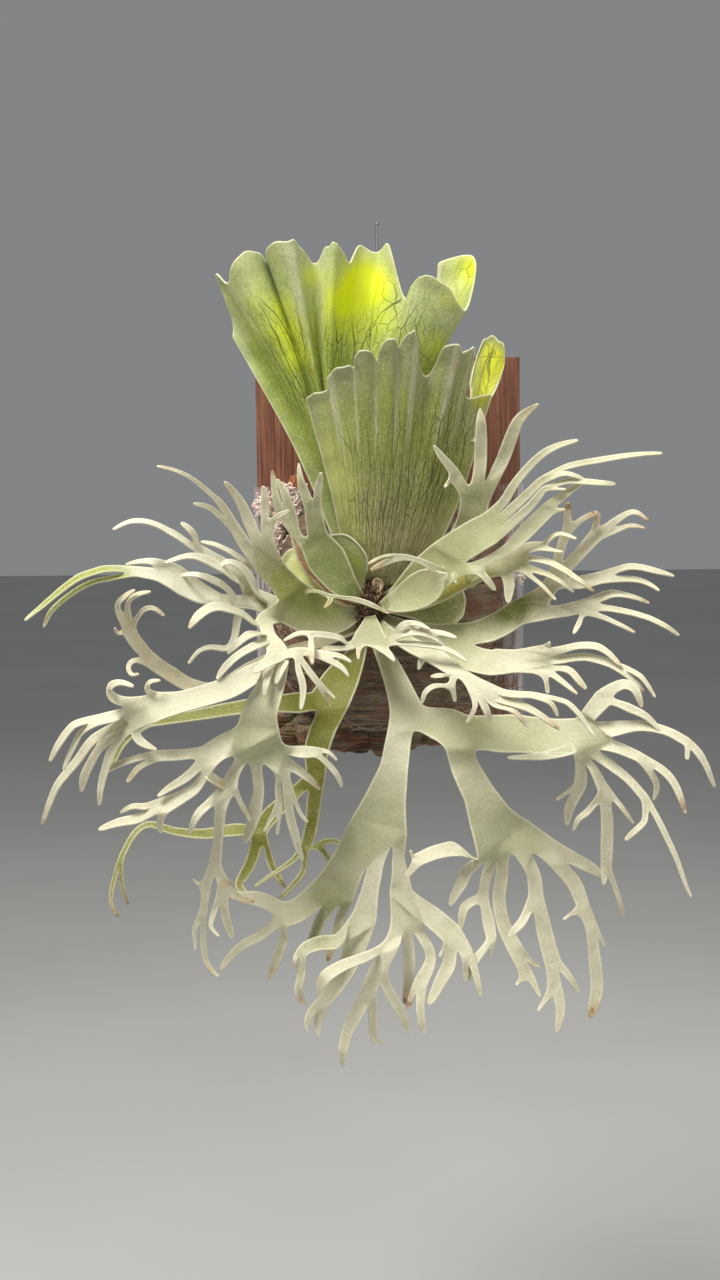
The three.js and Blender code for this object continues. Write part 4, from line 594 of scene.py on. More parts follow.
# Spots [across, down, radius, share] where a frond is greener, in shade
SHADES = {
    "left": ((308, 598, 26, 1.0), (282, 582, 22, 0.8), (264, 562, 18, 0.4), (330, 608, 16, 0.7)),
    "arch_left": ((104, 578, 22, 1.0), (70, 590, 24, 1.0), (42, 610, 22, 0.9), (125, 584, 10, 0.8)),
    "centre": ((340, 850, 18, 0.35), (330, 900, 22, 0.5), (318, 935, 24, 0.6), (480, 722, 24, 0.5),
               (530, 738, 24, 0.45)),
    "middle_right": ((438, 594, 14, 1.0), (460, 584, 16, 1.0), (488, 578, 12, 0.8)),
    "right": ((522, 598, 20, 0.9), (506, 612, 16, 0.8), (480, 620, 14, 0.6), (456, 630, 14, 0.4)),
}


def view_axes():
    """The camera's right, down and forward directions in the object's frame."""
    forward = Vector((-math.sin(YAW) * math.cos(PITCH), math.cos(YAW) * math.cos(PITCH), -math.sin(PITCH)))
    right = Matrix.Rotation(ROLL, 3, forward) @ Vector((math.cos(YAW), math.sin(YAW), 0))
    return right, forward.cross(right), forward


VIEW_RIGHT, VIEW_DOWN, VIEW_AHEAD = view_axes()


def place(row):
    """A traced place in millimetres, and the millimetres that a pixel spans there."""
    across, down, out = row[:3]
    ray = VIEW_AHEAD + (VIEW_RIGHT * (across - PICTURE[0] / 2) + VIEW_DOWN * (down - PICTURE[1] / 2)) / FOCAL
    reach = (-out - EYE.y) / ray.y
    return EYE + ray * reach, reach / FOCAL


def lerp(a, b, t):
    return a + (b - a) * t


def smooth(value, low, high):
    """0 up to `low`, 1 from `high` on, and smooth between."""
    t = min(max((value - low) / (high - low), 0), 1)
    return t * t * (3 - 2 * t)


def catmull(p, t):
    """A point of the smooth curve through four values, between the second and the third."""
    a, b, c, d = p
    return (b * 2 + (c - a) * t + (a * 2 - b * 5 + c * 4 - d) * t**2 + (b * 3 - a - c * 3 + d) * t**3) * 0.5


def wobble(point, size, seed=0.0):
    """Smooth noise from -1 to 1 with bumps of about `size` millimetres."""
    return noise.noise(point / size + Vector((seed, 1.7 * seed, -0.6 * seed)))


def around(tilt, angle):
    """The direction at a tilt up from the level and an angle round it."""
    return Vector((math.cos(tilt) * math.cos(angle), math.cos(tilt) * math.sin(angle), math.sin(tilt)))


def stretched(direction, sizes):
    """A direction drawn out by a size along each axis."""
    return Vector([a * size for a, size in zip(direction, sizes)])


def shaken(draw, amount):
    """A random step to all sides alike."""
    return Vector([draw.gauss(0, amount) for _ in range(3)])


class Sheet:
    """An open sheet: points in millimetres, numbers that go with each of them, and faces."""

    def __init__(self, *marks):
        self.points = []
        self.faces = []
        self.marks = {name: [] for name in marks}

    def add(self, point, **marks):
        self.points.append(point)
        for name, values in self.marks.items():
            values.append(marks.get(name, 0.0))
        return len(self.points) - 1

    def join(self, *corners):
        if len(set(corners)) > 2:
            self.faces.append(corners)

    def wrap(self, near, far):
        """Joins two closed rings."""
        for k in range(len(near)):
            after = (k + 1) % len(near)
            self.join(near[k], near[after], far[after], far[k])

    def zip(self, near, far):
        """Joins two rows, both from left to right. Rows may share an end point."""
        n, m = len(near) - 1, len(far) - 1
        start, end = near[0] == far[0], near[n] == far[m]
        if n == m and not start and not end:
            for k in range(n):
                self.join(near[k], near[k + 1], far[k + 1], far[k])
            return

        def gap(a, b):
            return (self.points[a] - self.points[b]).length

        def free(i, j, size, other):
            held_at_start = start and j == 0 and i > 0
            held_at_end = end and i + 1 == size and j < other - 1
            return i < size and not held_at_start and not held_at_end

        i = j = 0
        while i < n or j < m:
            near_free = free(i, j, n, m)
            if near_free and (not free(j, i, m, n) or gap(near[i + 1], far[j]) <= gap(near[i], far[j + 1])):
                self.join(near[i], near[i + 1], far[j])
                i += 1
            else:
                self.join(near[i], far[j + 1], far[j])
                j += 1

    def part(self):
        return self.points, self.faces, self.marks


class Row:
    """A traced row as points across its blade, seen along its direction. Far out from the wall every
    blade turns its face up."""

    def __init__(self, traced, along, face):
        self.centre, pixel = place(traced)
        self.wide = traced[3] >= WIDE_ROW
        slack = 1 - min(traced[3] / STIFF_ROW, 1)
        twist = Matrix.Rotation(TWIST * slack * wobble(self.centre, TWIST_SIZE), 3, along)
        turned = face.lerp(FACE_UP, smooth(traced[2], *TURNING))
        self.across = twist @ along.cross(turned).normalized()
        track, seen = (Vector((v.dot(VIEW_RIGHT), v.dot(VIEW_DOWN))) for v in (along, self.across))
        apart = abs(seen.x * track.y - seen.y * track.x)
        facing = apart / track.length if track.length > SHORT_TRACK else 1
        self.half = traced[3] * pixel / 2 / max(LEAST_FACING, facing)
        self.normal = self.across.cross(along).normalized()

    def at(self, side):
        flat = self.centre + self.across * self.half * side
        return flat - self.normal * CUP * self.half * (1 - side * side)

    @property
    def left(self):
        return self.centre - self.across * self.half

    @property
    def right(self):
        return self.centre + self.across * self.half


def filled(rows, before):
    """The rows with more between them on a smooth curve."""
    path = [before or rows[0], *rows, rows[-1]]
    full = []
    for k in range(1, len(rows)):
        here = [Vector(row[:3]) for row in path[k - 1:k + 3]]
        count = max(1, round((here[2] - here[1]).xy.length / ROW_STEP))
        for step in range(count):
            t = step / count
            full.append([*catmull(here, t), lerp(path[k][3], path[k + 1][3], t)])
    return [*full, rows[-1]]


def tipped(rows, before):
    """The rows of a last limb, whose end narrows, curls and gets a blunt tip."""
    last, previous = rows[-1], rows[-2] if len(rows) > 1 else before
    step = Vector(last[:3]) - Vector(previous[:3])
    on = Vector(last[:3]) + step * (TIP_REACH * last[3] / max(step.xy.length, 1))
    full = [*rows[:-1], [*last[:3], last[3] * TIP_WIDTHS[0]], [*on, last[3] * TIP_WIDTHS[1]]]
    draw = random.Random(int(last[0] * 7 + last[1]))
    curl = Vector((draw.gauss(0, 1.1), draw.uniform(-0.3, 1.6), draw.gauss(-1.2, 2.4)))
    end = Vector(full[-1][:3])
    bent = []
    for row in full:
        at = Vector(row[:3])
        near = smooth((end - at).xy.length, CURLED, 0)
        bent.append([*(at + curl * near**1.5), row[3]])
    return bent


def directions(rows, before):
    """The direction in which a limb runs at each of its rows."""
    path = [place(row)[0] for row in ([before] if before else []) + rows]
    start = len(path) - len(rows)
    ends = [(path[max(k - 1, 0)], path[min(k + 1, len(path) - 1)]) for k in range(start, len(path))]
    return [(b - a).normalized() for a, b in ends]


def turn(before, end, fork):
    """How far a fork turns to the right of its parent, as seen in the picture."""
    first = fork[0][0]
    ahead = math.atan2(end[1] - before[1], end[0] - before[0])
    away = math.atan2(first[1] - end[1], first[0] - end[0]) - ahead
    return math.atan2(math.sin(away), math.cos(away))


def crotch(parent, share, spare, a, b):
    """Where two neighbouring forks part, and whether their edges start there."""
    halves = a.half + b.half
    gap = (a.centre - b.centre).length - halves
    to = (a.right + b.left) / 2
    if gap <= SHARED_GAP * halves:
        return to, True
    overlap = halves * spare
    return lerp(lerp(parent.left, parent.right, share), to, max(LEAST_WEB, overlap / (overlap + gap))), False


def reach(rows, forks):
    """The length in millimetres from a limb's first row to its nearest tip."""
    path = [place(row)[0] for row in rows]
    own = sum((b - a).length for a, b in zip(path, path[1:]))
    return own + min(((place(fork[0][0])[0] - path[-1]).length + reach(*fork) for fork in forks), default=0)


def grow(sheet, rows, forks, face, start=None, before=None, run=0.0):
    """Grows a limb and what it forks into. `start` is the edge of the parent that it springs from."""
    tip = reach(rows, forks)
    rows = filled(rows, before)
    if not forks:
        rows = tipped(rows, before)
    row = last = None
    for k, (traced, along) in enumerate(zip(rows, directions(rows, before))):
        previous, row = row, Row(traced, along, face)
        step = (row.centre - previous.centre).length if previous else 0
        run, tip = run + step, tip - step
        marks = {"run": run, "tip": max(tip, 0), "fine": 1 - min(traced[3] / BROAD_ROW, 1)}
        ids = [sheet.add(row.at(side * out), **marks) for side, out in (WIDE if row.wide else NARROW)]
        if k == 0 and start:
            edge, shared = start
            for side, id_ in ((0, shared[0]), (-1, shared[1])):
                if id_ is not None:
                    ids[side] = id_
            last = edge
        if last:
            sheet.zip(last, ids)
        last = ids
    if forks:
        fork_out(sheet, rows[-2] if len(rows) > 1 else before, rows[-1], row, last, forks, face, marks)


def fork_out(sheet, before, end, row, last, forks, face, marks):
    """Grows the forks of a limb from its last row, each from its share of the row's width."""
    forks = sorted(forks, key=lambda fork: turn(before, end, fork))
    firsts = [Row(fork[0][0], directions(fork[0], end)[0], face) for fork in forks]
    total = sum(first.half for first in firsts)
    spare = max(0, 1 - row.half / total)
    bounds, share = [(last[0], False)], 0
    for a, b in zip(firsts, firsts[1:]):
        share += a.half / total
        at, shared = crotch(row, share, spare, a, b)
        bounds.append((sheet.add(at, **marks), shared))
    bounds.append((last[-1], False))
    sheet.zip(last, [id_ for id_, _ in bounds])
    for fork, (left, left_shared), (right, right_shared) in zip(forks, bounds, bounds[1:]):
        shared = (left if left_shared else None, right if right_shared else None)
        step = (place(fork[0][0])[0] - row.centre).length
        grow(sheet, *fork, face, ((left, right), shared), end, marks["run"] + step)


def slab(sheet, thick):
    """A closed slab round a sheet: its points, faces and marks."""
    normals = [Vector() for _ in sheet.points]
    edges = set()
    for face in sheet.faces:
        corners = [sheet.points[k] for k in face]
        normal = geometry.normal(corners) * geometry.area_tri(*corners[:3])
        for k, following in zip(face, face[1:] + face[:1]):
            normals[k] += normal
            edges.add((k, following))
    count = len(sheet.points)
    border = [(a, b) for a, b in sorted(edges) if (b, a) not in edges]
    faces = list(sheet.faces) + [tuple(k + count for k in reversed(face)) for face in sheet.faces]
    faces += [(b, a, a + count, b + count) for a, b in border]
    half = [normal.normalized() * thick / 2 for normal in normals]
    points = [p + h for p, h in zip(sheet.points, half)] + [p - h for p, h in zip(sheet.points, half)]
    marks = {name: values * 2 for name, values in sheet.marks.items()}
    return points, faces, {**marks, "rim": [1.0] * count + [-1.0] * count}


def mesh_object(name, parts, material, node=None, levels=0):
    """A smooth piece from closed parts, each of points in millimetres, faces and marks. It replaces
    a CAD node where one is named."""
    points, faces, marks = [], [], {}
    for part_points, part_faces, part_marks in parts:
        start = len(points)
        points += part_points
        faces += [tuple(k + start for k in face) for face in part_faces]
        for mark, values in part_marks.items():
            marks.setdefault(mark, []).extend(values)
    mesh = bpy.data.meshes.new(name)
    mesh.from_pydata([p * MM for p in points], [], faces)
    for mark, values in marks.items():
        mesh.attributes.new(mark, "FLOAT", "POINT").data.foreach_set("value", values)
    mesh.validate()
    mesh.shade_smooth()
    mesh.materials.append(material)
    piece = bpy.data.objects.new(name, mesh)
    bpy.context.scene.collection.objects.link(piece)
    if levels:
        crease(mesh)
        modifier = piece.modifiers.new("smooth", "SUBSURF")
        modifier.levels = modifier.render_levels = levels
        settle(piece)
    attach(piece, node)
    return piece


def attach(piece, node=None):
    """Tells the frame a piece's body and the CAD node that it replaces, if any."""
    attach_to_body(piece, "root")
    if node:
        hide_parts(node)


def crease(mesh):
    """Keeps a slab's edges firm under subdivision, so that it stays flat like a strap."""
    rim = [mark.value for mark in mesh.attributes["rim"].data]
    firm = [0.0] * len(mesh.edges)
    for polygon in mesh.polygons:
        is_wall = len({rim[k] for k in polygon.vertices}) == 2
        for (a, b), loop in zip(polygon.edge_keys, polygon.loop_indices):
            if is_wall and rim[a] == rim[b]:
                firm[mesh.loops[loop].edge_index] = CREASE
    mesh.attributes.new("crease_edge", "FLOAT", "EDGE").data.foreach_set("value", firm)


def settle(piece):
    """Applies the modifiers of a piece."""
    made = bpy.data.meshes.new_from_object(piece.evaluated_get(bpy.context.evaluated_depsgraph_get()))
    piece.modifiers.clear()
    old, piece.data = piece.data, made
    bpy.data.meshes.remove(old)
    made.name = piece.name


def measure_rim(piece, most=50):
    """Turns the mark `rim`, which is 1 and -1 on a slab's two faces, into millimetres from its edge."""
    marks = piece.data.attributes["rim"].data
    edge = [vertex.co for vertex, mark in zip(piece.data.vertices, marks) if abs(mark.value) < 0.9]
    tree = kdtree.KDTree(len(edge))
    for k, co in enumerate(edge):
        tree.insert(co, k)
    tree.balance()
    marks.foreach_set("value", [min(tree.find(vertex.co)[2] / MM, most) for vertex in piece.data.vertices])


def shift(piece, move):
    """Moves each point of a piece by move(point in millimetres, index)."""
    for k, vertex in enumerate(piece.data.vertices):
        vertex.co += move(vertex.co / MM, k) * MM


def spread(piece, mark, spots):
    """Marks the points of a piece near spots [across, down, radius, share], as the eye sees them."""
    rays = [(place([u, v, 0])[0] - EYE, radius / FOCAL, share) for u, v, radius, share in spots]
    values = []
    for vertex in piece.data.vertices:
        away = vertex.co / MM - EYE
        near = sum(share * math.exp(-(away.angle(ray) / wide) ** 2) for ray, wide, share in rays)
        values.append(min(near, 1))
    piece.data.attributes.new(mark, "FLOAT", "POINT").data.foreach_set("value", values)


# Materials

def rgb(red, green, blue):
    """A colour from the 0 to 255 values that a screen shows."""
    def linear(c):
        c /= 255
        return c / 12.92 if c <= 0.04045 else ((c + 0.055) / 1.055) ** 2.4
    return linear(red), linear(green), linear(blue), 1.0


FELT = rgb(214, 212, 186)
CREAM = rgb(238, 234, 206)
TAN = rgb(186, 150, 98)
BROWN = rgb(116, 80, 52)
RUST = rgb(128, 76, 56)
MOSS = rgb(104, 106, 54)


class Look:
    """A material whose nodes are added by calls that give the socket with the result."""

    def __init__(self, name, **settings):
        self.material = bpy.data.materials.new(name)
        self.material.use_nodes = True
        self.tree = self.material.node_tree
        self.shader = self.tree.nodes["Principled BSDF"]
        for socket, value in settings.items():
            self.feed(self.shader.inputs[socket.replace("_", " ")], value)

    def feed(self, socket, value):
        if isinstance(value, bpy.types.NodeSocket):
            self.tree.links.new(value, socket)
        else:
            socket.default_value = value

    def add(self, kind, output, inputs, **settings):
        """Adds a node and returns one of its outputs."""
        node = self.tree.nodes.new("ShaderNode" + kind)
        for name, value in settings.items():
            setattr(node, name, value)
        for key, value in inputs.items():
            self.feed(node.inputs[key], value)
        return node.outputs[output]

    def mark(self, name):
        """A number that goes with each point of the mesh."""
        return self.add("Attribute", "Fac", {}, attribute_name=name)

    def place(self, sizes):
        """The point in the object's frame, in millimetres, divided by a size for each axis."""
        at = self.add("TexCoord", "Object", {})
        return self.add("VectorMath", 0, {0: at, 1: tuple(1000 / s for s in sizes)}, operation="MULTIPLY")

    def join(self, x, y):
        return self.add("CombineXYZ", 0, {0: x, 1: y, 2: 0.0})

    def noise(self, at, detail=3, rough=0.55, distort=0.0):
        inputs = {"Vector": at, "Scale": 1.0, "Detail": detail, "Roughness": rough, "Distortion": distort}
        return self.add("TexNoise", 0, inputs)

    def grain(self, *sizes, **settings):
        """Noise with bumps of a size in millimetres, or of one for each axis."""
        return self.noise(self.place(sizes if len(sizes) == 3 else sizes * 3), **settings)

    def flat_grain(self, x, y, x_size, y_size, **settings):
        """Noise over two marks, with bumps of a size for each."""
        return self.noise(self.join(self.over(x, x_size), self.over(y, y_size)), **settings)

    def cell_edges(self, at):
        """The distance to the net between flat cells that are about one unit wide."""
        return self.add("TexVoronoi", "Distance", {"Vector": at, "Scale": 1.0}, voronoi_dimensions="2D",
                        feature="DISTANCE_TO_EDGE")

    def math(self, operation, a, b=0.0):
        return self.add("Math", 0, {0: a, 1: b}, operation=operation)

    def plus(self, a, b, weight=None):
        """The sum of `a` and `b`, or of `a` and `b` times a weight."""
        return self.math("ADD", a, b if weight is None else self.times(b, weight))

    def times(self, a, b):
        return self.math("MULTIPLY", a, b)

    def over(self, a, b):
        return self.math("DIVIDE", a, b)

    def ease(self, value, low, high, least=0.0, most=1.0):
        """`least` up to `low`, `most` from `high` on, and smooth between."""
        inputs = {"Value": value, "From Min": low, "From Max": high, "To Min": least, "To Max": most}
        return self.add("MapRange", 0, inputs, interpolation_type="SMOOTHSTEP")

    def mix(self, share, a, b):
        return self.add("Mix", 2, {0: share, 6: a, 7: b}, data_type="RGBA")

    def paint(self, colour):
        self.feed(self.shader.inputs["Base Color"], colour)

    def tint(self, share, colour):
        """Mixes a colour over the base colour that is there."""
        under = self.shader.inputs["Base Color"].links[0].from_socket
        self.paint(self.mix(share, under, colour))

    def bump(self, height, distance):
        """Adds bumps of a height in millimetres to those that are there."""
        normal = self.shader.inputs["Normal"]
        inputs = {"Height": height, "Distance": distance * MM}
        if normal.links:
            inputs["Normal"] = normal.links[0].from_socket
        self.feed(normal, self.add("Bump", 0, inputs))


def leaf_look(name, foot, green, pale, felted, shade=None, tips=0.6):
    """A leaf under pale felt, which thickens on the narrow strands and along the edges, where a
    painted highlight also lightens the rim. Its foot and its shaded spots have colours of their own,
    and `felted` says where the felt starts and is full."""
    foot, green, pale, shade = (rgb(*colour) for colour in (foot, green, pale, shade or foot))
    look = Look(name, Roughness=0.62, Sheen_Weight=0.1, Sheen_Roughness=0.4, Subsurface_Weight=0.1,
                Subsurface_Scale=0.003)
    run, fine, tip, rim = (look.mark(mark) for mark in ("run", "fine", "tip", "rim"))
    patches, clouds = look.grain(38), look.grain(14, detail=4, rough=0.6)
    share = look.ease(look.plus(fine, patches, 0.5), *felted)
    grown = look.ease(look.plus(run, clouds, 70), 40, 150)
    look.paint(look.mix(grown, foot, look.mix(share, green, pale)))
    look.tint(look.ease(clouds, 0.56, 0.36, most=0.25), green)
    look.tint(look.mark("shade"), shade)
    felt = look.grain(1.2, detail=2)
    look.tint(look.times(look.ease(felt, 0.48, 0.7), look.plus(0.15, share, 0.3)), FELT)
    look.tint(look.ease(felt, 0.52, 0.34, most=0.13), shade)
    flecks = look.grain(2.4, rough=0.7)
    worn = look.ease(clouds, 0.45, 0.65, least=0.05, most=0.35)
    look.tint(look.times(look.ease(flecks, 0.54, 0.68), worn), shade)
    # pale rim: felt gathered along the edge, with a painted edge highlight on it
    look.tint(look.ease(rim, 1.8, 0.4, most=0.5), CREAM)
    dry, near_tip = look.grain(26), look.plus(tip, look.grain(4), 14)
    look.tint(look.times(look.ease(near_tip, 22, 7), look.ease(dry, 0.5, 0.64, most=tips)), TAN)
    look.tint(look.times(look.ease(near_tip, 9.5, 6.5), look.ease(dry, 0.58, 0.64, most=tips)), BROWN)
    look.bump(felt, 0.3)
    look.bump(clouds, 0.8)
    return look.material


def vein_lines(look, across, along, size, aspect, width):
    """The lines between long cells about `size` millimetres wide, like veins that run up a leaf. The
    distance to them is evened out by its slope, so that each line is `width` millimetres wide."""
    length, step = size * aspect, 0.2
    bent = look.plus(across, look.flat_grain(across, along, size * 2.5, length), size * 1.3)

    def level(aside, ahead):
        x, y = look.plus(bent, aside), look.plus(along, ahead)
        return look.cell_edges(look.join(look.over(x, size), look.over(y, length)))

    here = level(0.0, 0.0)
    slopes = [look.math("SUBTRACT", level(*move), here) for move in ((step, 0.0), (0.0, step))]
    squares = [look.times(slope, slope) for slope in slopes]
    slope = look.math("SQRT", look.plus(look.plus(*squares), 1e-6))
    return look.ease(look.over(look.times(here, step), slope), width / 2, width * 0.2)


def shield_look(name, low, high, top, light, painted_backlight, vein, net_size, ribs):
    """A shield leaf: darker at its foot, felted at its top, with spots of painted light falling on it
    and of painted light shining through it from behind, and veins that show as a dark net where its
    marks say so."""
    low, high, top, light, painted_backlight, vein = (rgb(*colour) for colour in (low, high, top, light, painted_backlight, vein))
    look = Look(name, Roughness=0.55, Sheen_Weight=0.05, Sheen_Roughness=0.5, Subsurface_Weight=0.15,
                Subsurface_Scale=0.004)
    across, along, edge, rib, rise = (look.mark(mark) for mark in ("across", "along", "edge", "rib", "rise"))
    height = look.plus(rise, look.grain(24, 24, 40), 0.4)
    look.paint(look.mix(look.ease(height, 0.35, 0.85), low, high))
    # painted light: lighter where light falls on the leaf, at the marked spots
    look.tint(look.mark("light"), light)
    look.tint(look.ease(height, 0.9, 1.2, most=0.85), top)
    streak = look.flat_grain(across, along, 0.8, 9)
    look.tint(look.ease(streak, 0.46, 0.7, most=0.22), vein)
    look.tint(look.ease(streak, 0.5, 0.36, most=0.12), top)
    pleat = look.flat_grain(across, along, 9, 120)
    look.tint(look.ease(pleat, 0.5, 0.66, most=0.2), top)
    combed = look.ease(streak, 0.7, 0.35, least=0.6 * ribs, most=ribs)
    look.tint(look.times(look.ease(rib, 0.4, 1), combed), FELT)
    felt = look.grain(1.5, detail=2)
    look.tint(look.ease(felt, 0.48, 0.7, most=0.3), FELT)
    look.tint(look.ease(felt, 0.5, 0.34, most=0.2), low)
    # painted light shining through the leaf from behind, vivid yellow at the marked spots
    look.tint(look.mark("painted_backlight"), painted_backlight)
    coarse = vein_lines(look, across, along, net_size * 2.4, 9, 0.75)
    fine = vein_lines(look, across, along, net_size, 4.5, 0.5)
    net = look.times(look.math("MAXIMUM", look.times(fine, 0.85), coarse), look.mark("net"))
    lines = look.times(net, look.ease(edge, 1, 8, least=0.1, most=0.9))
    look.tint(lines, vein)
    look.tint(look.ease(edge, 9, 1, most=0.3), top)
    look.tint(look.ease(edge, 1.4, 0.4, most=0.55), CREAM)
    look.bump(look.plus(felt, lines, -1.5), 0.3)
    return look.material


def wood_look():
    """Reddish stained wood with an upright grain."""
    look = Look("stained_wood", Roughness=0.55)
    grain = look.grain(2.2, 2.2, 60, detail=4, rough=0.6)
    broad = look.grain(9, 9, 220, detail=2)
    pores = look.grain(0.9, 0.9, 18, detail=2)
    look.paint(look.mix(look.ease(grain, 0.3, 0.7), rgb(100, 60, 46), rgb(160, 106, 80)))
    look.tint(look.ease(broad, 0.45, 0.65, most=0.5), rgb(126, 76, 58))
    look.tint(look.ease(pores, 0.58, 0.72, most=0.6), rgb(70, 40, 34))
    look.bump(grain, 0.5)
    return look.material


def coir_look():
    """Brown coir in level layers, with rusty and mossy patches."""
    look = Look("coir_and_moss", Roughness=0.9)
    layers = look.grain(34, 34, 3.2, detail=4, rough=0.65, distort=0.4)
    look.paint(look.mix(look.ease(layers, 0.32, 0.68), rgb(70, 54, 42), rgb(146, 124, 98)))
    look.tint(look.ease(look.grain(22, 22, 16), 0.48, 0.62, most=0.65), RUST)
    look.tint(look.ease(look.grain(16, 16, 12, distort=1.0), 0.52, 0.66, most=0.6), MOSS)
    look.bump(look.grain(2, 2, 0.8, detail=4), 1.2)
    return look.material


def plain_look(name, dark, light, size, roughness, bump=0.4):
    """A matt or shiny material whose colour varies softly between two."""
    look = Look(name, Roughness=roughness)
    patches = look.grain(size)
    look.paint(look.mix(look.ease(patches, 0.35, 0.65), rgb(*dark), rgb(*light)))
    look.bump(patches, bump)
    return look.material


def steel_look():
    """Dull drawn wire."""
    look = Look("steel_wire", Metallic=1.0, Roughness=0.32)
    drawn = look.grain(0.5, 0.5, 12, detail=2)
    look.paint(look.mix(drawn, rgb(130, 132, 134), rgb(178, 178, 176)))
    return look.material


def film_look():
    """Clear stretched film: mostly see-through, with painted highlights along the upright creases at the
    sides and a faint haze of its own there.
    """
    look = Look("clear_film", Roughness=0.12, IOR=1.45)
    look.paint(rgb(222, 220, 220))
    creases = look.grain(2.6, 2.6, 120, detail=1)
    haze = look.grain(12, 12, 40)
    across = look.add("SeparateXYZ", 0, {0: look.place((1, 1, 1))})
    side = look.ease(look.math("ABSOLUTE", across), 80, 92, least=0.06)
    # painted highlights along the creases, plus the film's own faint haze, shown only at the sides
    crease_glints_and_haze = look.plus(look.ease(creases, 0.52, 0.64, 0.03, 0.5), look.ease(haze, 0.4, 0.65, 0.03, 0.16))
    look.feed(look.shader.inputs["Alpha"], look.times(crease_glints_and_haze, side))
    look.bump(creases, 0.4)
    return look.material


# Each leaf's foot, green and felt, and the marks between which the felt grows full
ANTLER_GREEN = leaf_look("antler_green", (128, 138, 72), (152, 158, 100), (207, 204, 170), (0.3, 1.1))
ANTLER_OLIVE = leaf_look("antler_olive", (108, 108, 14), (118, 118, 26), (160, 162, 86), (0.7, 1.4))
ANTLER_SAGE = leaf_look("antler_sage", (170, 172, 116), (198, 200, 150), (210, 208, 172), (0.3, 1.1))
ANTLER_WARM = leaf_look("antler_warm", (142, 134, 26), (168, 164, 96), (213, 208, 174), (0.2, 1.1))
ANTLER_PALE = leaf_look("antler_pale", (154, 154, 112), (178, 178, 140), (217, 212, 184), (0.2, 1.0),
                        shade=(130, 134, 60))
ANTLER_LIME = leaf_look("antler_lime", (206, 204, 176), (226, 223, 202), (222, 219, 196), (0.4, 1.0),
                        shade=(150, 158, 34), tips=0.0)
ANTLER_TAN = leaf_look("antler_tan", (192, 186, 140), (206, 178, 112), (222, 214, 184), (0.3, 1.0), tips=0.3)
DRIED = leaf_look("dried_frond", (142, 98, 58), (160, 118, 74), (196, 160, 112), (0.6, 1.2))

# Shield colours; the light and the glowing colour are painted light, falling on the leaf and shining through
# it from behind
LIME = shield_look("shield_lime", low=(112, 122, 44), high=(148, 166, 44), top=(188, 196, 140),
                   light=(206, 222, 84), painted_backlight=(222, 234, 0), vein=(60, 66, 14), net_size=3.2, ribs=0.4)
GREEN = shield_look("shield_green", low=(176, 168, 118), high=(142, 153, 58), top=(146, 152, 106),
                    light=(208, 214, 118), painted_backlight=(206, 210, 4), vein=(66, 72, 24), net_size=2.4, ribs=0.5)
SUNLIT = shield_look("shield_sunlit", low=(196, 200, 100), high=(226, 230, 146), top=(228, 230, 170),
                     light=(230, 234, 150), painted_backlight=(230, 236, 90), vein=(120, 128, 60), net_size=2.4, ribs=0.2)
OLIVE = shield_look("shield_olive", low=(108, 108, 54), high=(116, 122, 56), top=(150, 154, 100),
                    light=(196, 202, 124), painted_backlight=(190, 190, 40), vein=(66, 72, 24), net_size=2.4, ribs=0.2)


# Pieces

def face_out(sheet, across, down):
    """The `out` of a place on a sheet's face, as seen from the eye."""
    ray = place([across, down, 0])[0] - EYE
    hits = []
    for face in sheet.faces:
        for k in range(2, len(face)):
            corners = (sheet.points[i] for i in (face[0], face[k - 1], face[k]))
            hit = geometry.intersect_ray_tri(*corners, ray, EYE)
            if hit:
                hits.append(-hit.y)
    return max(hits)


def frond_part(rows, forks, face, run=0.0):
    """The open sheet of a limb and all its forks."""
    sheet = Sheet("run", "tip", "fine")
    grow(sheet, rows, forks, face, run=run)
    return sheet


def frond(name, traced, face, material, shades=()):
    """A frond from its traced limbs, greener at the shaded spots."""
    (rows, forks), *strands = traced
    blade = frond_part(rows, forks, face)
    parts = [slab(blade, FROND_THICK)]
    for rows, forks in strands:
        settled = [[u, v, face_out(blade, u, v) if out is ON else out, width] for u, v, out, width in rows]
        parts.append(slab(frond_part(settled, forks, face, STRAND_RUN), FROND_THICK))
    piece = mesh_object(f"{name}_blade", parts, material, name, levels=2)
    seed = len(name) + len(traced[-1][0])
    measure_rim(piece)
    spread(piece, "shade", shades)

    def sway(p, k):
        return face * (SWAY * wobble(p, SWAY_SIZE, seed) + FLUTTER * wobble(p, FLUTTER_SIZE, seed + 4))

    shift(piece, sway)


def fan_place(curves, s, t, rag):
    """The place `s` ribs across a fan of curves and at the share `t` along it, with the length of the
    rib there."""
    last = len(curves) - 1
    k = int(s)
    near = [curves[min(max(k + d, 0), last)] for d in (-1, 0, 1, 2)]
    base, middle, rim = (catmull([rib[j] for rib in near], s - k) for j in range(3))
    half = [base * 2 - middle, base, middle, rim] if t < 0.5 else [base, middle, rim, rim * 2 - middle]
    notch = noise.noise(Vector((s * 2.1, last, 0))) + 0.45 * noise.noise(Vector((s * 6.3, last, 5)))
    ragged = (rim - middle).normalized() * (rag * notch * smooth(t, RAGGED_FROM, 1))
    roll = CURL * (0.7 + noise.noise(Vector((s * 0.9, 7, last)))) * smooth(t, CURLED_FROM, 1)
    point = catmull(half, t * 2 if t < 0.5 else t * 2 - 1) + (ragged + Vector((0, -roll, 0)))
    return point, (middle - base).length + (rim - middle).length


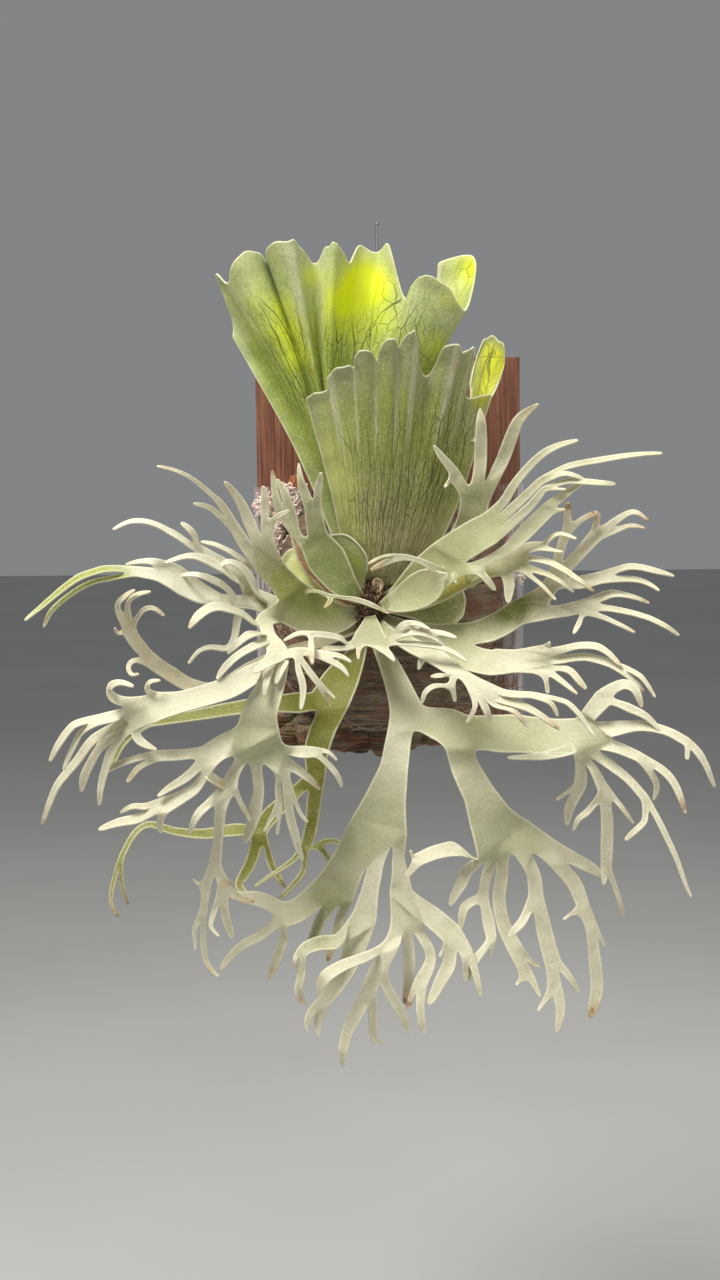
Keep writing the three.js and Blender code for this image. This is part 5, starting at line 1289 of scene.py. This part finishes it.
def shield_part(ribs, raised, rag):
    """A slab from a fan of traced ribs."""
    curves = [[place(row)[0] for row in rib] for rib in ribs]
    last = len(ribs) - 1
    sheet = Sheet("across", "along", "edge", "rib", "rise")
    width = (curves[-1][2] - curves[0][2]).length
    before = None
    for step in range(ALONG_STEPS + 1):
        t = 1 - (1 - step / ALONG_STEPS) ** CROWDING
        row = []
        for count in range(last * ACROSS_STEPS + 1):
            s = min(count / ACROSS_STEPS, last - 1e-6)
            point, length = fan_place(curves, s, t, rag)
            side = min(s, last - s) / last * width * (0.15 + 0.85 * t)
            rib = sum(math.exp(-((s - r) / RIB_WIDTH) ** 2) for r in raised) * smooth(t, *RIB_RISE)
            row.append(sheet.add(point, across=s / last * width, along=t * length, rib=rib, rise=t,
                                 edge=min(side, (1 - t) * length)))
        if before:
            sheet.zip(before, row)
        before = row
    return slab(sheet, SHIELD_THICK)


def shield(name, fans, material, slot, rag=RAG, raised=(), **spots):
    """A shield from fans of traced ribs, with spots of painted light shining through it from behind,
    of painted light falling on it, and of veins. `raised` are the first fan's ribs that stand up pale."""
    parts = [shield_part(ribs, () if k else raised, rag) for k, ribs in enumerate(fans)]
    piece = mesh_object(f"{name}_leaf", parts, material, name, levels=1)
    # the marks of painted light shining through, of painted light falling on the leaf, and of its veins
    for mark in ("painted_backlight", "light", "net"):
        spread(piece, mark, spots.get(mark, ()))
    edge, rib = ([value.value for value in piece.data.attributes[mark].data] for mark in ("edge", "rib"))
    seed = len(fans[0])

    def move(p, k):
        ripple = WAVE * smooth(edge[k], WAVY_BAND, 0) * wobble(p, WAVE_SIZE, seed)
        ripple += SWELL * wobble(p, SWELL_SIZE, seed + 3)
        return Vector((0, -ripple - RIB_HEIGHT * rib[k], 0))

    shift(piece, move)


def tube(path, radius, sides=4):
    """A closed tube along points in millimetres."""
    sheet = Sheet()
    before = across = None
    for k, p in enumerate(path):
        along = (path[min(k + 1, len(path) - 1)] - path[max(k - 1, 0)]).normalized()
        across = (across - along * across.dot(along) if k else along.orthogonal()).normalized()
        up = along.cross(across)
        angles = [math.tau * side / sides for side in range(sides)]
        ring = [sheet.add(p + (across * math.cos(a) + up * math.sin(a)) * radius) for a in angles]
        if k:
            sheet.wrap(before, ring)
        before = ring
    sheet.join(*reversed(range(sides)))
    sheet.join(*ring)
    return sheet.part()


def globe(columns, rows, at):
    """A closed skin of rings from pole to pole, where at(direction) gives the place of each point."""
    sheet = Sheet()
    before = None
    for row in range(rows + 1):
        tilt = math.pi * (row / rows - 0.5)
        ring = [sheet.add(at(around(tilt, math.tau * column / columns))) for column in range(columns)]
        if row:
            sheet.wrap(before, ring)
        before = ring
    return sheet.part()


def lump_point(direction, at, size, scale=1.0):
    """The place in a direction on the skin of a rough lump."""
    return at + stretched(direction, size) * (scale + 0.3 * noise.noise(direction * 1.8 + at))


def lump(at, size, columns=14, rows=9):
    """A rough closed lump of half sizes `size` about a place."""
    return globe(columns, rows, lambda direction: lump_point(direction, at, size))


def copied(node, name, material, slot, *modifiers):
    """A finer copy of a CAD node that replaces it, with modifiers as (kind, settings)."""
    piece = bpy.data.objects.new(name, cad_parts[node].data.copy())
    bpy.context.scene.collection.objects.link(piece)
    piece.data.materials.clear()
    piece.data.materials.append(material)
    for kind, settings in modifiers:
        modifier = piece.modifiers.new(kind, kind)
        for key, value in settings.items():
            setattr(modifier, key, value)
    settle(piece)
    attach(piece, node)
    return piece


def repaint(node, material):
    """Gives a CAD node that stays visible a better material."""
    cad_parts[node].material_slots[0].material = material


WELD = ("WELD", {"merge_threshold": 0.00002})


def board():
    """The plank with its arrises eased."""
    bevel = ("BEVEL", {"width": 0.0006, "segments": 2, "limit_method": "ANGLE", "angle_limit": 0.5})
    copied("board", "plank", wood_look(), "stained_wood", WELD, bevel)


def film():
    """The film with fine wrinkles."""
    fine = ("SUBSURF", {"subdivision_type": "SIMPLE", "levels": 2, "render_levels": 2})
    piece = copied("film", "stretch_film", film_look(), "clear_film", WELD, fine)
    shift(piece, lambda p, k: Vector((0, -0.5, 0)) * wobble(Vector((p.x, p.y, p.z / 9)), 4, 3))


def mound_point(direction, grown=0.0):
    """A place on the mound, from a direction on a unit sphere: flat at the board, bulging in front."""
    def swell(value, power):
        return math.copysign(abs(value) ** power, value)
    return Vector((BALL["x"] + (BALL["width"] / 2 + grown) * swell(direction.x, BALL["square"]),
                   BOARD_FACE - (BALL["depth"] + grown) * max(0, -direction.y) ** BALL["bulge"],
                   BALL["z"] + (BALL["height"] / 2 + grown) * swell(direction.z, BALL["square"])))


def mound(material):
    """The mound in layers, rough all over, closed at its flat back."""
    def rough_point(direction):
        at = mound_point(direction)
        layer = 0.5 + 0.5 * wobble(Vector((at.x / 12, at.y / 12, at.z)), 2.6)
        rough = 0.5 + 0.5 * wobble(at, 3.5, 2)
        front = smooth(-direction.y, 0, 0.3)
        return mound_point(direction, -1.7 * layer * front - 0.9 * rough * front)

    skin = globe(columns=200, rows=130, at=rough_point)
    mesh_object("mound", [skin], material, "root_ball")


def fibres(material, count=320, points=12):
    """Coarse strands that lie along the mound's layers."""
    draw = random.Random(5)
    parts = []
    for _ in range(count):
        tilt, angle = draw.uniform(-1.1, 1.1), draw.uniform(math.pi * 1.08, math.pi * 1.92)
        climb, length, seed = draw.gauss(0, 0.12), draw.uniform(0.15, 0.5), draw.uniform(0, 99)
        path = []
        for k in range(points):
            t = k / (points - 1) - 0.5
            level = tilt + climb * t + 0.05 * noise.noise(Vector((seed, t * 3, 0)))
            lift = 0.1 + 0.7 * noise.noise(Vector((t * 4, seed, 1)))
            path.append(mound_point(around(level, angle + length * t), lift))
        parts.append(tube(path, draw.uniform(0.18, 0.42)))
    mesh_object("fibres", parts, material)


def clods(material, strands=12, points=9):
    """Soft clods of coir round the mound's foot, with strands along them."""
    draw = random.Random(17)
    parts = []
    for clod in CLODS:
        centre, wide = place(clod)[0], clod[3]
        size = (wide * 1.15, wide * 0.85, wide)
        parts.append(lump(centre, size, columns=32, rows=20))
        for _ in range(strands):
            tilt, start, length = draw.uniform(-1.1, 0.6), draw.uniform(-2.9, -1.4), draw.uniform(0.6, 1.4)
            ways = [around(tilt, start + length * k / (points - 1)) for k in range(points)]
            path = [lump_point(way, centre, size, 1.03) for way in ways]
            parts.append(tube(path, draw.uniform(0.25, 0.5)))
    mesh_object("clods", parts, material)


def roots(material, count=16, steps=9):
    """Fine roots that hang out of the mound's lower right."""
    draw = random.Random(11)
    parts = []
    for _ in range(count):
        path = [place([draw.uniform(*ROOTS_ACROSS), draw.uniform(*ROOTS_DOWN), ROOTS_OUT])[0]]
        heading = Vector((1, draw.uniform(-0.3, 0.3), draw.uniform(-0.4, 0.4)))
        for _ in range(steps):
            heading = (heading + Vector((0, draw.gauss(0, 0.25), draw.gauss(-0.08, 0.4)))).normalized()
            path.append(path[-1] + heading * draw.uniform(1.5, 3))
        parts.append(tube(path, draw.uniform(0.2, 0.3)))
    mesh_object("fine_roots", parts, material)


def outward(draw):
    """A random direction away from the wall."""
    return Vector((draw.gauss(0, 1), -abs(draw.gauss(0, 1)), draw.gauss(0, 1))).normalized()


def bud_scales(material, count=420):
    """Narrow pointed scales that cover the bud, most of them upward."""
    draw = random.Random(8)
    lowest, highest = (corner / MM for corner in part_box("bud"))
    centre, size = (lowest + highest) / 2, (highest - lowest) / 2
    parts = []
    for _ in range(count):
        way = outward(draw)
        root = centre + stretched(way, size) * 0.97
        lean = (way + Vector((0, -0.25, draw.uniform(0.3, 1.3)))).normalized()
        tip = root + lean * draw.uniform(2.5, 6)
        bend = (root + tip) / 2 + way * 0.7
        side = lean.cross(way).normalized() * draw.uniform(0.35, 0.8)
        sheet = Sheet()
        widths = ((root, 1), (bend, 0.8), (tip, 0.1))
        rows = [[sheet.add(p - side * w), sheet.add(p + side * w)] for p, w in widths]
        sheet.zip(rows[0], rows[1])
        sheet.zip(rows[1], rows[2])
        parts.append(slab(sheet, 0.3))
    mesh_object("bud_scales", parts, material)


def young_frond(material, sides=24, rings=6):
    """The small curled disc on the bud, a cup with a thick pale rim."""
    centre = place(DISC_PLACE)[0] + Vector((0, -1.2, 0))
    sheet = Sheet("run", "tip", "fine")
    before = None
    for ring in range(rings + 1):
        t = ring / rings
        row = []
        for k in range(sides):
            angle = math.tau * k / sides
            radius = t * (1 + 0.08 * math.sin(3 * angle + 1))
            at = Vector((3.7 * radius * math.cos(angle), -2.2 * t**2.2, 5.0 * radius * math.sin(angle)))
            row.append(sheet.add(centre + at, run=STRAND_RUN, tip=40.0, fine=0.9))
        if before:
            sheet.wrap(before, row)
        before = row
    disc = slab(sheet, 0.9)
    measure_rim(mesh_object("young_frond_disc", [disc], material, "young_frond", levels=1))


def moss(material, material_bark, stems=70, steps=6):
    """Pale moss in thick short tufts on cushions, with bits of bark among it."""
    draw = random.Random(3)
    cushion = (5.5, 6, 6.5)
    parts = []
    for tuft in TUFTS:
        centre = place(tuft)[0]
        parts.append(lump(centre, cushion))
        for _ in range(stems):
            out = outward(draw)
            heading = (out + shaken(draw, 0.7)).normalized()
            path = [centre + stretched(out, cushion)]
            for _ in range(steps):
                heading = (heading + shaken(draw, 0.45)).normalized()
                path.append(path[-1] + heading * draw.uniform(0.8, 1.6))
            parts.append(tube(path, draw.uniform(0.5, 0.85), 5))
    mesh_object("sphagnum", parts, material)
    bits = [lump(place(bit)[0], (bit[3], bit[3] * 0.5, bit[3] * 1.3)) for bit in BARK]
    mesh_object("bark_bits", bits, material_bark)


# The studio, in metres and watts, and the camera's sensor in millimetres
FLOOR_SIZE, FLOOR_HEIGHT = 30, -0.75
LAMPS = (("key", (-0.7, -0.9, 1.7), 0.9, 54), ("fill", (1.4, -1.3, 0.5), 1.6, 13),
         ("back", (0.3, 0.9, 1.4), 1.0, 14))
LAMP_COLOUR = (1, 0.98, 0.94)
LIT_PLACE = Vector((0, -0.1, -0.05))
SKY_COLOUR, SKY_STRENGTH = rgb(226, 228, 230), 0.3
SENSOR, CLIP_END = 36, 50


def lamp(name, at, size, power):
    """A square lamp that shines on the object."""
    light = bpy.data.lights.new(name, "AREA")
    light.size, light.energy, light.color = size, power, LAMP_COLOUR
    holder = bpy.data.objects.new(name, light)
    holder.location = at
    holder.rotation_euler = (LIT_PLACE - Vector(at)).to_track_quat("-Z", "Y").to_euler()
    bpy.context.scene.collection.objects.link(holder)


def photo_camera():
    """The camera at the photograph's place and angle."""
    camera = bpy.data.cameras.new("camera")
    camera.sensor_width = SENSOR
    camera.lens = SENSOR * FOCAL / PICTURE[1]
    camera.clip_end = CLIP_END
    eye = bpy.data.objects.new("camera", camera)
    turned = Matrix((VIEW_RIGHT, -VIEW_DOWN, -VIEW_AHEAD)).transposed()
    eye.matrix_world = Matrix.Translation(EYE * MM) @ turned.to_4x4()
    bpy.context.scene.collection.objects.link(eye)
    bpy.context.scene.camera = eye


def studio():
    """A pale floor, soft light and the camera."""
    bpy.ops.mesh.primitive_plane_add(size=FLOOR_SIZE, location=(0, 0, FLOOR_HEIGHT))
    floor = bpy.context.object
    floor.name = "floor"
    floor.data.materials.append(plain_look("floor", (184, 184, 182), (190, 190, 188), 900, 0.9, 0.0))
    world = bpy.data.worlds.new("studio")
    world.use_nodes = True
    sky = world.node_tree.nodes["Background"]
    sky.inputs["Color"].default_value = SKY_COLOUR
    sky.inputs["Strength"].default_value = SKY_STRENGTH
    bpy.context.scene.world = world
    for row in LAMPS:
        lamp(*row)
    photo_camera()
    bpy.context.scene.view_settings.view_transform = "Standard"


studio()
board()
repaint("hanging_wire", steel_look())
coir = coir_look()
mound(coir)
fibre = plain_look("fibre", (104, 80, 58), (176, 150, 120), 12, 0.85)
fibres(fibre)
clods(coir)
roots(fibre)
film()
repaint("bud", plain_look("bud", (38, 26, 20), (66, 46, 36), 2, 0.9))
bud_scales(plain_look("scales", (84, 60, 44), (178, 148, 118), 5, 0.8))
young_frond(plain_look("young_felt", (172, 150, 124), (208, 192, 168), 3, 0.8))
# the moss is painted near white, lighter than it is, to make up for the shade it lies in among the fronds
moss(plain_look("moss", (246, 216, 204), (254, 244, 236), 5, 0.85),
     plain_look("bark", (150, 84, 44), (206, 140, 90), 4, 0.8))

shield("back_shield", [BACK_SHIELD], LIME, "shield_lime", raised=BACK_RAISED, **BACK_SPOTS)
shield("front_shield", [FRONT_SHIELD, FRONT_EAR], GREEN, "shield_green", raised=FRONT_RAISED, **FRONT_SPOTS)
shield("young_shield", [YOUNG_SHIELD], GREEN, "shield_green", 0.4)
shield("low_shield_left", [LOW_SHIELD_LEFT], SUNLIT, "shield_lime", 0.6)
shield("low_shield_right", [LOW_SHIELD_RIGHT], OLIVE, "shield_green", 0.8)

frond("old_stub", OLD_STUB, FACE_FRONT, DRIED)
for name, traced, face, look, slot in (
        ("left", LEFT, FACE_FRONT, ANTLER_PALE, "antler_pale"),
        ("inner_left", INNER_LEFT, FACE_FRONT, ANTLER_GREEN, "antler_green"),
        ("arch_left", ARCH_LEFT, FACE_UP, ANTLER_LIME, "antler_pale"),
        ("curled_left", CURLED_LEFT, FACE_UP, ANTLER_TAN, "antler_pale"),
        ("low_left", LOW_LEFT, FACE_UP, ANTLER_OLIVE, "antler_green"),
        ("centre", CENTRE, FACE_UP, ANTLER_PALE, "antler_pale"),
        ("front", FRONT, FACE_UP, ANTLER_PALE, "antler_pale"),
        ("tall_right", TALL_RIGHT, FACE_FRONT, ANTLER_GREEN, "antler_green"),
        ("fold_right", FOLD_RIGHT, FACE_FRONT, ANTLER_SAGE, "antler_green"),
        ("middle_right", MIDDLE_RIGHT, FACE_UP, ANTLER_WARM, "antler_pale"),
        ("right", RIGHT, FACE_UP, ANTLER_PALE, "antler_pale"),
        ("front_right", FRONT_RIGHT, FACE_UP, ANTLER_PALE, "antler_pale")):
    frond(f"antler_{name}", traced, face, look, SHADES.get(name, ()))
